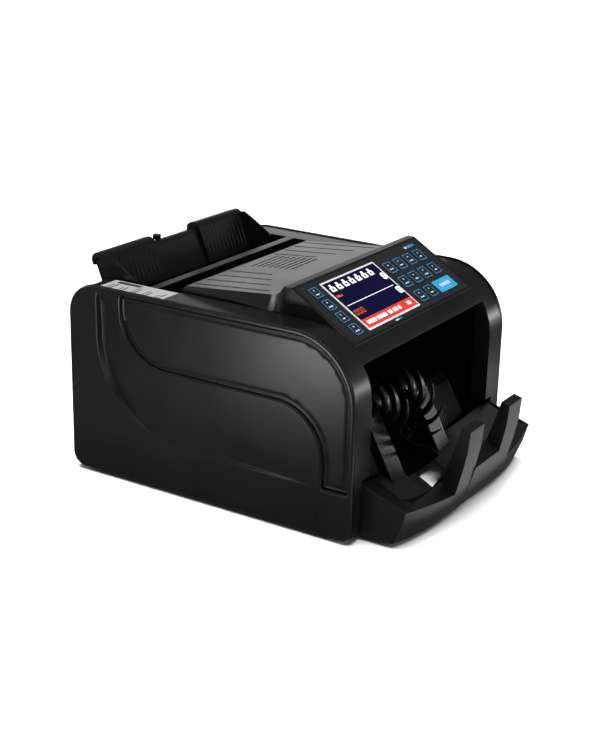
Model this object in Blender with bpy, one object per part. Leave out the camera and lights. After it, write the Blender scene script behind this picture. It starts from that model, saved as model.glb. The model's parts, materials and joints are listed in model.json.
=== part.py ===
# Banknote counting machine: a table-top note counter. Notes stand in the hopper at the rear,
# rollers feed them forward under the console, and two bladed stacker wheels lay them in the
# catch tray at the front. Sizes are in millimetres, and the helpers turn them into metres.
# X is to the right, -Y is the front, and the machine stands on Z = 0.

import bpy
import bmesh
from math import acos, atan2, cos, hypot, pi, radians, sin, sqrt, tan

MM = 0.001
GAP = 0.3                  # air between two pieces that meet
REACH = 400.0              # how far a cutter runs past the piece it cuts

# Body
BODY_WIDTH = 242.0
BODY_DEPTH = 256.2         # from the front of the columns to the rear of the covers
FRONT = -101.2             # front of the columns
DECK_Z = 153.8             # top of the side rails
ARCH_RADIUS = 52.0         # the curve from the rails down to the columns
REAR_RADIUS = 25.0
SHELL = 2.5                # moulded wall of the housing and the console
COLUMN_WIDTH = 25.0        # from the front opening to the outside of a cover
OPENING_TOP = 129.7
COLUMN_FOOT = 46.8         # lower end of the columns, above the tray
FLOOR_CLEARANCE = 2.6      # the covers hang this far above the table

# Side covers
COVER_RISE = 0.7           # a cover stands this far above the rails
COVER_SKIN = 2.4
COVER_INSET = 4.5          # the thin layer behind the cover's outer skin is this much smaller
COVER_LAYER = 3.4
RIBBON_DEPTH = 2.1         # the inlay lies this far below the pad
RIBBON_THICKNESS = 1.4
SEAM = 0.4                 # air round the inlay
PAD_REAR = 53.0            # from the rear of the body to the pad
PAD_TOP = 96.5
PAD_FRONT = 25.0           # from the front of the columns to the pad
PAD_RADIUS = 38.0
INLAY_MARGIN = 4.3         # rim between the inlay and the cover's outline
SCOOP_REAR = 26.5          # from the rear of the body to the scoop
SCOOP_WIDTH = 24.0
SCOOP_DEPTH = 2.4
CREASE_Z = 40.0            # lower edge of the scoop and the pad
CREASE_RADIUS = 78.0

# Console and lid
LID_REAR = 86.0            # from the rear of the body to the lid's rear edge
LID_RISE = 3.0
LID_SLOPE = 5.3            # degrees
LID_HALF = 86.0
RIDGE_Y = 77.8             # from the front of the columns to the ridge
RIDGE_RISE = 20.4
RIDGE_FLAT = 6.3
PANEL_SLOPE = 31.4         # degrees
PANEL_LENGTH = 63.6
CONSOLE_MARGIN = 27.5      # from the outside of a cover to the console's foot
OVERLAY_THICKNESS = 0.5
OVERLAY_MARGIN = 2.0
SLAB = 3.1                 # the console's floor under the panel
GROOVE_WIDTH = 2.0
GROOVE_DEPTH = 1.0
GROOVE_PITCH = 15.0
GROOVES_PER_SIDE = 4
VENT_ROWS = 8
VENT_PITCH = 5.2
VENT_WIDTH = 40.0
VENT_SLOT = 1.8

# Display and keys, from the panel's upper edge and its two sides
DISPLAY_WIDTH = 78.0
DISPLAY_HEIGHT = 51.6
DISPLAY_TOP = 6.0
DISPLAY_LEFT = 26.6
DISPLAY_DEPTH = 4.6
KEY_SIZE = 12.2
KEY_HEIGHT = 0.4           # the caps stand this far above the overlay
KEY_DEPTH = 3.0
KEY_PITCH = 16.0
LEFT_KEY_SIZE = 11.0
LEFT_KEY_PITCH = 13.3
LEFT_KEY_INSET = 15.0      # from the panel's left side to the middle of the left keys
LEFT_KEY_TOP = 11.8
RIGHT_KEY_INSET = 16.0
RIGHT_KEY_TOP = 17.3
RIGHT_ROW_PITCH = 16.5
START_KEY_WIDTH = 27.5

# Hopper
PLATE_SLOPE = 68.0         # degrees
GUIDE_FACE_Y = 21.8        # from the rear of the body to the guide's face, at GUIDE_FACE_DROP
GUIDE_FACE_DROP = 4.8
GUIDE_WALL = 2.4
GUIDE_FOOT_DROP = 14.0
GUIDE_APEX = 19.0          # top of the guides above the rails
GUIDE_INNER = 30.0
GUIDE_OUTER = 27.6         # from the outside of a cover to a guide's fin
FIN_THICKNESS = 2.0
FIN_REACH = 45.0           # from the rear of the body to the fin's front
PLATE_THICKNESS = 9.0
PLATE_TOP = 13.0
PLATE_FOOT_DROP = 16.5
TABLE_WALL = 2.0
LIP_REAR = 59.2            # from the rear of the body to the back of the lip
LIP_WIDTH = 8.1
TABLE_DROP = 9.8           # the table starts this far below the lip
TABLE_END = 27.5
TABLE_FALL = 10.0
KNOB_RADIUS = 3.4
KNOB_HEIGHT = 4.0
KNOB_X = -18.6

# Shafts and rollers
SHAFT_RADIUS = 3.0
BEARING_PLAY = 0.3
FRAME_X = 21.0             # from the outside of a cover to a frame plate's inner face
FRAME_SHEET = 1.5
SHAFT_END = 11.0           # from the outside of a cover to the end of a driven shaft
FEED_Y = 49.0              # from the rear of the body
FEED_DROP = 28.3           # below the rails
FEED_RADIUS = 17.0
FEED_X = 30.0
PICKUP_Y = 28.0
PICKUP_DROP = 33.3
PICKUP_RADIUS = 15.0
PICKUP_X = 62.0
ROLLER_WIDTH = 18.0
TRANSPORT_Y = 125.0        # from the front of the columns
TRANSPORT_RADIUS = 10.0
TRANSPORT_X = 40.0
STACKER_Y = 39.9           # from the front of the columns
STACKER_Z = 53.3
WHEEL_RADIUS = 39.0
WHEEL_HUB = 10.0
WHEEL_WIDTH = 8.0
WHEEL_X = 21.0
BLADES = 14
BLADE_SWEEP = 78.0         # degrees from root to tip
BLADE_ROOT = 1.7
BLADE_TIP = 0.7

# Drive
MOTOR_Y = 95.0             # from the rear of the body
MOTOR_Z = 38.0
MOTOR_RADIUS = 22.0
MOTOR_LENGTH = 56.0
MOTOR_PULLEY = 9.0
FEED_PULLEY = 13.0
PICKUP_PULLEY = 6.6
STACKER_PULLEY = 20.0
BELT_THICKNESS = 1.2
BELT_SPACE = 3.6

# Catch tray, its chutes and its prongs
TRAY_HALF = 105.8
TRAY_WALL = 2.4
FLOOR_EDGE = 17.0          # from the front of the columns back to the floor's rear edge
FLOOR_REAR_Z = 27.0
TROUGH_OUT = 11.8          # from the front of the columns out to the trough
TROUGH_Z = 12.0
RAMP_START = 56.0          # the floor turns up towards the wings here
WING_REAR_Z = 43.2
WING_FRONT_OUT = 35.7
WING_FRONT_Z = 30.3
APRON_FOOT_OUT = 36.3
APRON_FOOT_BOW = 10.3
APRON_BOTTOM = 4.0
LEDGE_OUT = 31.0
LEDGE_Z = 30.3
LIP_DROP = 5.7             # the apron's lip falls this far across its ledge
LEDGE_DEPTH = 13.0
BRIDGE_Z = 44.8            # ledge between the prongs
PRONG_INNER = 21.7
PRONG_OUTER = 44.6
PRONG_TOP = 78.0
PRONG_TIP_OUT = 53.8
PRONG_TIP_DEPTH = 7.0
CUTOUT_HALF = 16.0
CUTOUT_OUT = 27.0
WHEEL_SLOT_BACK = 3.8      # from the wheels' front edge back to the end of their slots
CHUTE_SLOPE = 61.5         # degrees
CHUTE_WALL = 2.0
CHUTE_TOP = 64.0
CHUTE_INNER = 28.0
CHUTE_STEP = 47.0
CHUTE_SETBACK = 8.0
CHUTE_ROUND = 6.0

# Base, rear and feet
PAN_SHEET = 2.0
PAN_LIFT = 2.9             # the pan's underside above the covers' lower edge
PAN_FLANGE = 6.5
PANEL_SHEET = 2.4
FOOT_RADIUS = 9.0
FOOT_INSET_X = 17.0
FOOT_INSET_Y = 24.0
INLET_WIDTH = 27.0
INLET_HEIGHT = 20.0
INLET_DEPTH = 16.0
INLET_X = -70.0
INLET_Z = 34.0
SWITCH_WIDTH = 13.0
SWITCH_HEIGHT = 19.0
SWITCH_X = -40.0
SWITCH_SWING = 12.0        # degrees each way
SWITCH_SUNK = 1.2          # rocker's face below the panel's
SWITCH_PIVOT_DEPTH = 6.0
PIN_WIDTH = 1.9

# Places that follow from the sizes
REAR = FRONT + BODY_DEPTH
HALF = BODY_WIDTH / 2
OPENING_HALF = HALF - COLUMN_WIDTH
CONSOLE_HALF = HALF - CONSOLE_MARGIN
PANEL_HALF = CONSOLE_HALF - 3.5
COVER_INNER = HALF - COVER_SKIN
HOUSING_HALF = COVER_INNER - GAP
LID_Y = REAR - LID_REAR
RIDGE = FRONT + RIDGE_Y
PANEL_Y = RIDGE - RIDGE_FLAT
PANEL_Z = DECK_Z + RIDGE_RISE - 0.1
FRAME_INNER = HALF - FRAME_X
PAN_BOTTOM = FLOOR_CLEARANCE + PAN_LIFT
PAN_TOP = PAN_BOTTOM + PAN_SHEET
STACKER = (FRONT + STACKER_Y, STACKER_Z)
FEED = (REAR - FEED_Y, DECK_Z - FEED_DROP)
PICKUP = (REAR - PICKUP_Y, DECK_Z - PICKUP_DROP)
MOTOR = (REAR - MOTOR_Y, MOTOR_Z)
ROOM_TOP = FEED[1] + SHAFT_RADIUS + 1.5
PATH_REAR = (FEED[0] - FEED_RADIUS - 3.0, FEED[1] - 7.0)
PATH_FRONT = (STACKER[0] + 31.0, STACKER[1] + WHEEL_RADIUS + 1.5)


def path_z(y):
    """Height of the note path above the lower path plate's line."""
    share = (y - PATH_FRONT[0]) / (PATH_REAR[0] - PATH_FRONT[0])
    return PATH_FRONT[1] + share * (PATH_REAR[1] - PATH_FRONT[1])


TRANSPORT = (FRONT + TRANSPORT_Y, path_z(FRONT + TRANSPORT_Y) - TRANSPORT_RADIUS + 1.6)


# ---- helpers -------------------------------------------------------------------------------

def material(name, colour, roughness, metallic=0.0):
    made = bpy.data.materials.get(name)
    if made:
        return made
    made = bpy.data.materials.new(name)
    made.use_nodes = True
    shader = made.node_tree.nodes["Principled BSDF"]
    shader.inputs["Base Color"].default_value = (*colour, 1.0)
    shader.inputs["Roughness"].default_value = roughness
    shader.inputs["Metallic"].default_value = metallic
    return made


def add(name, bm, finish=None, parent=None, origin=(0, 0, 0)):
    """Put a closed mesh, drawn in millimetres about its origin, into the scene."""
    bmesh.ops.remove_doubles(bm, verts=bm.verts, dist=1e-4)
    bmesh.ops.recalc_face_normals(bm, faces=bm.faces)
    bmesh.ops.translate(bm, verts=bm.verts, vec=[-c for c in origin])
    bmesh.ops.scale(bm, verts=bm.verts, vec=(MM, MM, MM))
    mesh = bpy.data.meshes.new(name)
    bm.to_mesh(mesh)
    bm.free()
    made = bpy.data.objects.new(name, mesh)
    bpy.context.collection.objects.link(made)
    made.location = [c * MM for c in origin]
    made.parent = parent
    if finish:
        mesh.materials.append(finish)
        mesh.shade_smooth()
        mesh.set_sharp_from_angle(angle=radians(35))
    return made


def helper(name, bm, parent=None):
    """A cutter or a second shape for a Boolean, left out of the build."""
    made = add(name, bm, parent=parent)
    made.hide_render = True
    made.display_type = "WIRE"
    return made


def boolean(target, other, operation="DIFFERENCE"):
    step = target.modifiers.new(other.name, "BOOLEAN")
    step.operation = operation
    step.object = other
    return target


def place(axis, u, v, w):
    """A point from its two outline coordinates and its place along the extrusion axis."""
    if axis == "X":
        return (w, u, v)
    if axis == "Y":
        return (u, w, v)
    return (u, v, w)


def prism(outline, axis, low, high, into=None):
    """Extrude a closed outline along an axis. Several can go into one mesh."""
    bm = into or bmesh.new()
    lower = [bm.verts.new(place(axis, u, v, low)) for u, v in outline]
    upper = [bm.verts.new(place(axis, u, v, high)) for u, v in outline]
    bm.faces.new(lower)
    bm.faces.new(upper[::-1])
    for i in range(len(outline)):
        j = (i + 1) % len(outline)
        bm.faces.new((lower[i], lower[j], upper[j], upper[i]))
    return bm


def box(x, y, z, into=None):
    return prism([(x[0], y[0]), (x[1], y[0]), (x[1], y[1]), (x[0], y[1])], "Z", z[0], z[1], into)


def arc(centre, radius, start, end, steps):
    return [(centre[0] + radius * cos(radians(start + (end - start) * i / steps)),
             centre[1] + radius * sin(radians(start + (end - start) * i / steps)))
            for i in range(steps + 1)]


def circle(centre, radius, steps=32):
    return arc(centre, radius, 0, 360, steps)[:-1]


def rounded(corners, step=12.0):
    """A closed outline from (u, v, radius) corners, with an arc every step degrees."""
    points = []
    count = len(corners)
    for i, (u, v, radius) in enumerate(corners):
        if radius <= 0:
            points.append((u, v))
            continue
        before = corners[i - 1]
        after = corners[(i + 1) % count]
        a = atan2(before[1] - v, before[0] - u)
        b = atan2(after[1] - v, after[0] - u)
        turn = (b - a + pi) % (2 * pi) - pi
        reach = radius / abs(tan(turn / 2))
        middle = a + turn / 2
        centre = (u + cos(middle) * radius / abs(sin(turn / 2)), v + sin(middle) * radius / abs(sin(turn / 2)))
        first = (u + cos(a) * reach, v + sin(a) * reach)
        last = (u + cos(b) * reach, v + sin(b) * reach)
        start = atan2(first[1] - centre[1], first[0] - centre[0])
        sweep = (atan2(last[1] - centre[1], last[0] - centre[0]) - start + pi) % (2 * pi) - pi
        pieces = max(1, round(abs(sweep) / radians(step)))
        for k in range(pieces + 1):
            angle = start + sweep * k / pieces
            points.append((centre[0] + cos(angle) * radius, centre[1] + sin(angle) * radius))
    return points


def strip(line, thickness):
    """A closed outline: an open line and its parallel, thickness to its right."""
    other = []
    for i, (u, v) in enumerate(line):
        normals = []
        for a, b in ((i - 1, i), (i, i + 1)):
            if a >= 0 and b < len(line):
                du = line[b][0] - line[a][0]
                dv = line[b][1] - line[a][1]
                length = hypot(du, dv)
                normals.append((dv / length, -du / length))
        nu = sum(n[0] for n in normals) / len(normals)
        nv = sum(n[1] for n in normals) / len(normals)
        size = nu * nu + nv * nv
        other.append((u + thickness * nu / size, v + thickness * nv / size))
    return line + other[::-1]


def loft(rings, into=None):
    """A closed solid through rings of points, with flat ends."""
    bm = into or bmesh.new()
    made = [[bm.verts.new(point) for point in ring] for ring in rings]
    bm.faces.new(made[0])
    bm.faces.new(made[-1][::-1])
    for a, b in zip(made, made[1:]):
        for i in range(len(a)):
            j = (i + 1) % len(a)
            bm.faces.new((a[i], a[j], b[j], b[i]))
    return bm


def lathe(profile, centre, steps=32, into=None):
    """Turn (radius, x) points about an axis along X through centre (y, z)."""
    rings = []
    for radius, x in profile:
        rings.append([(x, u, v) for u, v in circle(centre, radius, steps)])
    return loft(rings, into)


def ring_on_shaft(centre, outer, inner, low, high, steps=40):
    """A roller, wheel or pulley body with a bore, closed, along X."""
    bm = bmesh.new()
    loops = []
    for radius, x in ((outer, low), (outer, high), (inner, high), (inner, low)):
        loops.append([bm.verts.new((x, u, v)) for u, v in circle(centre, radius, steps)])
    for k in range(4):
        a = loops[k]
        b = loops[(k + 1) % 4]
        for i in range(steps):
            j = (i + 1) % steps
            bm.faces.new((a[i], a[j], b[j], b[i]))
    return bm


def hull_loop(circles, steps=10):
    """The outline of a belt round several pulleys, given as (y, z, radius) anticlockwise."""
    points = []
    count = len(circles)
    for i, (u, v, radius) in enumerate(circles):
        angles = []
        for first, second in ((circles[i - 1], circles[i]), (circles[i], circles[(i + 1) % count])):
            du = second[0] - first[0]
            dv = second[1] - first[1]
            tilt = acos((first[2] - second[2]) / hypot(du, dv))
            angles.append(atan2(dv, du) - tilt)
        start, end = angles
        sweep = (end - start) % (2 * pi)
        for k in range(steps + 1):
            angle = start + sweep * k / steps
            points.append((u + radius * cos(angle), v + radius * sin(angle)))
    return points


# ---- finishes ------------------------------------------------------------------------------

def finishes():
    return {
        "shell": material("satin_black_abs", (0.012, 0.012, 0.013), 0.38),
        "inlay": material("fine_grain_abs", (0.014, 0.014, 0.015), 0.5),
        "overlay": material("printed_overlay", (0.02, 0.021, 0.023), 0.45),
        "display": material("display_module", (0.8, 0.82, 0.84), 0.25),
        "key": material("overlay_key", (0.018, 0.019, 0.021), 0.45),
        "start": material("start_key", (0.03, 0.4, 0.8), 0.4),
        "gloss": material("gloss_black_pom", (0.008, 0.008, 0.009), 0.15),
        "rubber": material("roller_rubber", (0.03, 0.03, 0.03), 0.8),
        "foot": material("foot_rubber", (0.015, 0.015, 0.015), 0.85),
        "steel": material("bright_steel", (0.6, 0.6, 0.6), 0.3, 1.0),
        "sheet": material("zinc_sheet", (0.5, 0.51, 0.52), 0.4, 1.0),
        "nylon": material("white_nylon", (0.75, 0.74, 0.7), 0.45),
        "belt": material("drive_belt", (0.02, 0.02, 0.02), 0.7),
        "board": material("green_board", (0.01, 0.12, 0.04), 0.4),
        "motor": material("motor_can", (0.35, 0.36, 0.37), 0.35, 1.0),
    }


# ---- body shells ---------------------------------------------------------------------------

def side_profile(inset):
    """Outline of a side, seen along X, smaller by inset all round."""
    top = DECK_Z + COVER_RISE - inset
    bottom = FLOOR_CLEARANCE + inset
    return [
        (REAR - inset, bottom, 12.0 - min(inset, 8.0)),
        (REAR - inset, top, REAR_RADIUS - inset),
        (FRONT + inset, top, ARCH_RADIUS - inset),
        (FRONT + inset, bottom, 8.0 - min(inset, 5.0)),
    ]


def pad_outline(shift):
    """The pad's upper edge, moved outwards by shift, closed along the crease."""
    rear = REAR - PAD_REAR + shift
    front = FRONT + PAD_FRONT + 3.2 - shift
    top = PAD_TOP + shift
    return rear, front, top, PAD_RADIUS + shift


def inlay_outline(seam):
    """The ribbon inlay, smaller by seam all round, between the pad and the rim."""
    margin = INLAY_MARGIN + seam
    rear, front, top, radius = pad_outline(2.6 + seam)
    ceiling = DECK_Z + COVER_RISE - margin
    nose = FRONT + margin
    foot = CREASE_Z - 1.0 + seam
    return rounded([
        (rear - 2 * seam, ceiling, 2.0),
        (nose, ceiling, ARCH_RADIUS - margin),
        (nose, foot, 1.0),
        (front - 2 * seam, foot, 1.0),
        (front - 2 * seam, top, radius),
        (rear - 2 * seam, top, radius),
    ])


def scoop_outline():
    """The band behind the pad: it runs down the rear and thins out along the crease."""
    rear = REAR - SCOOP_REAR
    top = DECK_Z + COVER_RISE - INLAY_MARGIN
    inner = rear - SCOOP_WIDTH
    outer_arc = arc((rear - CREASE_RADIUS, CREASE_Z + CREASE_RADIUS), CREASE_RADIUS, 0, -80, 10)
    small = CREASE_RADIUS - SCOOP_WIDTH
    inner_arc = arc((rear - CREASE_RADIUS, CREASE_Z + CREASE_RADIUS), small, -60, 0, 8)
    return [(inner, top), (rear, top)] + outer_arc + inner_arc


def side_cover(side, name, shell):
    """A moulded cover: outer skin, a smaller layer behind it, a recess for the inlay and a scoop."""
    skin = sorted((side * COVER_INNER, side * HALF))
    layer = sorted((side * (COVER_INNER - COVER_LAYER), side * (COVER_INNER + 0.2)))
    cover = add(name, prism(rounded(side_profile(0.0)), "X", *skin), shell)
    backing = helper(name + "_backing", prism(rounded(side_profile(COVER_INSET)), "X", *layer))
    boolean(cover, backing, "UNION")
    recess = sorted((side * (HALF - RIBBON_DEPTH - RIBBON_THICKNESS - GAP), side * REACH))
    cuts = prism(inlay_outline(-SEAM), "X", *recess)
    boolean(cover, helper(name + "_recess", cuts))
    scoop = sorted((side * (HALF - SCOOP_DEPTH), side * REACH))
    boolean(cover, helper(name + "_scoop", prism(scoop_outline(), "X", *scoop)))
    pocket = sorted((0.0, side * COVER_INNER))
    low = FLOOR_CLEARANCE + COVER_INSET + SHELL
    room = [(REAR - 8.0, low, 4.0), (REAR - 8.0, CREASE_Z - 6.0, 4.0),
            (FRONT + 8.0, CREASE_Z - 6.0, 4.0), (FRONT + 8.0, low, 4.0)]
    boolean(cover, helper(name + "_pocket", prism(rounded(room), "X", *pocket)))
    return cover


def inlay(side, name, finish):
    outer = HALF - RIBBON_DEPTH
    span = sorted((side * outer, side * (outer - RIBBON_THICKNESS)))
    return add(name, prism(inlay_outline(SEAM / 2), "X", *span), finish)


def housing_profile(inset):
    return [
        (REAR - 0.6 - inset, COLUMN_FOOT - REACH, 0.0),
        (REAR - 0.6 - inset, DECK_Z - inset, REAR_RADIUS - inset),
        (FRONT + inset, DECK_Z - inset, ARCH_RADIUS - inset),
        (FRONT + inset, COLUMN_FOOT - REACH, 0.0),
    ]


def panel_point(t, n):
    """(y, z) of a point t down the panel's slope and n above its face."""
    a = radians(PANEL_SLOPE)
    return (PANEL_Y - t * cos(a) - n * sin(a), PANEL_Z - t * sin(a) + n * cos(a))


def main_housing(shell):
    """Rails, columns, header and deck in one moulding, open at the front, rear and bottom."""
    body = add("main_housing", prism(rounded(housing_profile(0.0)), "X", -HOUSING_HALF, HOUSING_HALF), shell)
    inner = rounded(housing_profile(SHELL))
    wall = OPENING_HALF + SHELL
    void = prism(inner, "X", wall, REACH)
    prism(inner, "X", -REACH, -wall, void)
    boolean(body, helper("housing_side_voids", void))
    bar = LID_Y - 2.0
    before = [(y, z) for y, z in inner if y < bar - SHELL]
    front_part = [(bar - SHELL, DECK_Z - SHELL)] + before + [(bar - SHELL, COLUMN_FOOT - REACH)]
    boolean(body, helper("housing_middle_void", prism(front_part, "X", -OPENING_HALF, OPENING_HALF)))
    behind = [(bar, DECK_Z + 50), (bar, COLUMN_FOOT - REACH), (REAR - 0.6 - SHELL, COLUMN_FOOT - REACH),
              (REAR - 0.6 - SHELL, DECK_Z - 14.0), (REAR + 50, DECK_Z - 14.0), (REAR + 50, DECK_Z + 50)]
    boolean(body, helper("hopper_mouth", prism(behind, "X", -OPENING_HALF, OPENING_HALF)))
    mouth = (-REACH, FRONT + 14.0)
    front_cut = box((-OPENING_HALF, OPENING_HALF), mouth, (-REACH, OPENING_TOP))
    boolean(body, helper("front_opening", front_cut))
    wing_cut = box((-TRAY_HALF - GAP, TRAY_HALF + GAP), (-REACH, FRONT + 14.2), (-REACH, COLUMN_FOOT))
    boolean(body, helper("wing_clearance", wing_cut))
    room = box((-REACH, REACH), (FRONT + 14.1, REAR + 50), (-REACH, ROOM_TOP))
    boolean(body, helper("mechanism_room", room))
    foot = box((-REACH, REACH), (-REACH, REACH), (-REACH, PAN_BOTTOM))
    boolean(body, helper("housing_foot", foot))
    top_y, top_z = panel_point(-40, -SLAB - GAP)
    end_y = panel_point(PANEL_LENGTH, 0)[0] - GAP
    end_z = top_z - (top_y - end_y) * tan(radians(PANEL_SLOPE))
    bed = [(top_y, top_z), (end_y, end_z), (end_y, top_z + 30), (top_y, top_z + 30)]
    boolean(body, helper("panel_seat", prism(bed, "X", -CONSOLE_HALF - GAP, CONSOLE_HALF + GAP)))
    deep = [panel_point(-40, -11), panel_point(PANEL_LENGTH - 2.5, -11),
            panel_point(PANEL_LENGTH - 2.5, 30), panel_point(-40, 30)]
    boolean(body, helper("board_room", prism(deep, "X", -PANEL_HALF, PANEL_HALF)))
    return body


def lid_top(y):
    """Height of the lid and ridge above the deck at y, with a concave rise up to the ridge."""
    flat = DECK_Z + LID_RISE + (LID_Y - y) * tan(radians(LID_SLOPE))
    start = RIDGE + 16.0
    if y >= start:
        return flat
    share = (start - y) / 16.0
    return flat + (DECK_Z + RIDGE_RISE - flat) * share ** 2.6


def console_rings(inset):
    """Cross-sections of the lid and console from the rear to the front."""
    floor = DECK_Z + GAP - (1.0 if inset else 0.0)
    rings = []
    stations = [LID_Y - inset, RIDGE + 16.0] + [RIDGE + 16.0 * k / 6 for k in (5, 4, 3, 2, 1, 0)]
    for y in stations:
        top = lid_top(y) - inset
        share = min(1.0, max(0.0, (RIDGE + 16.0 - y) / 16.0))
        half = LID_HALF + (CONSOLE_HALF - 0.6 - LID_HALF) * share - inset
        rings.append((y, floor, top, half))
    a = radians(PANEL_SLOPE)
    if inset:
        rings[-1] = (RIDGE - 1.0, floor, DECK_Z + RIDGE_RISE - inset, CONSOLE_HALF - 0.6 - inset)
        y = PANEL_Y - (PANEL_Z - inset - OVERLAY_THICKNESS - GAP - floor - 0.6) / tan(a)
        rings.append((y, floor, floor + 0.6, CONSOLE_HALF - 0.6 - inset))
    else:
        meet = PANEL_Y + SLAB / sin(a) - (PANEL_Z - floor) / tan(a)
        rings.append((PANEL_Y, floor, PANEL_Z, CONSOLE_HALF - 0.6))
        rings.append((meet, floor, PANEL_Z - (PANEL_Y - meet) * tan(a), CONSOLE_HALF - 0.3))
        end = panel_point(PANEL_LENGTH, 0)
        low = PANEL_Z - (PANEL_Y - end[0]) * tan(a) - SLAB / cos(a)
        rings.append((end[0], low, end[1], CONSOLE_HALF - 0.1))
    foot = CONSOLE_HALF - inset
    return [[(-foot, y, low), (foot, y, low), (half, y, top), (-half, y, top)]
            for y, low, top, half in rings]


def key_places():
    """Name, x, distance down the slope, width and height of each key."""
    keys = []
    for i in range(4):
        keys.append(("key_left_%d" % (i + 1), LEFT_KEY_INSET - 0.5 - PANEL_HALF,
                     LEFT_KEY_TOP + i * LEFT_KEY_PITCH, LEFT_KEY_SIZE, LEFT_KEY_SIZE))
    for row in range(3):
        for column in range(4):
            if row == 2 and column > 1:
                continue
            x = PANEL_HALF - RIGHT_KEY_INSET - (3 - column) * KEY_PITCH
            keys.append(("key_right_%d_%d" % (row + 1, column + 1), x,
                         RIGHT_KEY_TOP + row * RIGHT_ROW_PITCH, KEY_SIZE, KEY_SIZE))
    x = PANEL_HALF - RIGHT_KEY_INSET - KEY_PITCH / 2
    keys.append(("key_start", x, RIGHT_KEY_TOP + 2 * RIGHT_ROW_PITCH, START_KEY_WIDTH, KEY_SIZE))
    return keys


def console(shell):
    """Lid and console in one moulding, with grooves, vent slots and windows for the panel."""
    body = add("console_housing", loft(console_rings(0.0)), shell)
    boolean(body, helper("console_void", loft(console_rings(SHELL))))
    length = LID_Y - RIDGE - 16.0
    slope = tan(radians(LID_SLOPE))
    grooves = bmesh.new()
    for side in (-1, 1):
        for k in range(GROOVES_PER_SIDE):
            x = side * (LID_HALF - 9.0 - k * GROOVE_PITCH)
            y0 = LID_Y - 2.5
            y1 = LID_Y - length * (0.92 - 0.12 * k)
            z0 = lid_top(y0) - GROOVE_DEPTH
            z1 = z0 + (y0 - y1) * slope
            line = [(y0, z0), (y1, z1), (y1, z1 + 20), (y0, z0 + 20)]
            prism(line, "X", x - GROOVE_WIDTH / 2, x + GROOVE_WIDTH / 2, grooves)
    boolean(body, helper("lid_grooves", grooves))
    vents = bmesh.new()
    first = LID_Y - 9.5
    for row in range(VENT_ROWS):
        y = first - row * VENT_PITCH
        if y < RIDGE + 18.0:
            break
        for part in range(4):
            x = 8.0 - VENT_WIDTH / 2 + part * VENT_WIDTH / 4
            box((x, x + VENT_WIDTH / 4 - 1.2), (y - VENT_SLOT, y), (DECK_Z, DECK_Z + 40), vents)
    boolean(body, helper("lid_vents", vents))
    return body


def panel_pieces(console_body, finish):
    """Overlay, display, board and keys on an empty that lies in the panel's face."""
    datum = bpy.data.objects.new("panel_datum", None)
    bpy.context.collection.objects.link(datum)
    datum.location = (0, PANEL_Y * MM, PANEL_Z * MM)
    datum.rotation_euler = (radians(PANEL_SLOPE), 0, 0)
    edge = OVERLAY_MARGIN
    pocket = box((-PANEL_HALF - GAP, PANEL_HALF + GAP), (edge - PANEL_LENGTH - GAP, GAP - edge),
                 (-OVERLAY_THICKNESS - GAP, REACH))
    boolean(console_body, helper("overlay_pocket", pocket, datum))
    film = box((-PANEL_HALF, PANEL_HALF), (edge - PANEL_LENGTH, -edge), (-OVERLAY_THICKNESS, 0))
    overlay = add("panel_overlay", film, finish["overlay"], datum)
    left = DISPLAY_LEFT - PANEL_HALF
    glass_x = (left, left + DISPLAY_WIDTH)
    glass_y = (-DISPLAY_TOP - DISPLAY_HEIGHT, -DISPLAY_TOP)
    windows = box((glass_x[0] - GAP, glass_x[1] + GAP), (glass_y[0] - GAP, glass_y[1] + GAP), (-20, 20))
    add("display_module", box(glass_x, glass_y, (-DISPLAY_DEPTH, 0.2)), finish["display"], datum)
    for name, x, t, width, height in key_places():
        corner = 1.2
        hole = rounded([(x + width / 2 + GAP, GAP + height / 2 - t, corner + GAP),
                        (x - width / 2 - GAP, GAP + height / 2 - t, corner + GAP),
                        (x - width / 2 - GAP, -GAP - height / 2 - t, corner + GAP),
                        (x + width / 2 + GAP, -GAP - height / 2 - t, corner + GAP)], 30)
        prism(hole, "Z", -20, 20, windows)
        cap = rounded([(x + width / 2, height / 2 - t, corner), (x - width / 2, height / 2 - t, corner),
                       (x - width / 2, -height / 2 - t, corner), (x + width / 2, -height / 2 - t, corner)], 30)
        look = finish["start"] if name == "key_start" else finish["key"]
        made = add(name, prism(cap, "Z", -KEY_DEPTH, KEY_HEIGHT), look, datum, (x, -t, 0))
        made.location = (x * MM, -t * MM, 0)
    cutter = helper("panel_windows", windows, datum)
    boolean(overlay, cutter)
    boolean(console_body, cutter)
    board_x = PANEL_HALF - 4.0
    board = box((-board_x, board_x), (7.0 - PANEL_LENGTH, -12.0), (-7.4, -5.8))
    add("key_board", board, finish["board"], datum)


# ---- hopper --------------------------------------------------------------------------------

def face_y(z, behind=0.0):
    """Y of the guides' front face at height z, or of a plane that lies behind it."""
    slope = radians(PLATE_SLOPE)
    return REAR - GUIDE_FACE_Y + (z - DECK_Z + GUIDE_FACE_DROP) / tan(slope) + behind / sin(slope)


def hopper_plate(shell):
    """The fixed back plate, thick and round-topped, which the guides sit astride."""
    top = DECK_Z + PLATE_TOP
    foot = DECK_Z - PLATE_FOOT_DROP
    front = GUIDE_WALL + GAP
    back = front + PLATE_THICKNESS
    outline = rounded([
        (face_y(foot, front), foot, 0.0), (face_y(foot, back), foot, 0.0),
        (face_y(top, back), top, 4.0), (face_y(top, front), top, 4.0)])
    half = HALF - GUIDE_OUTER - 1.0
    plate = add("hopper_back_plate", prism(outline, "X", -half, half), shell)
    return plate


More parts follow.
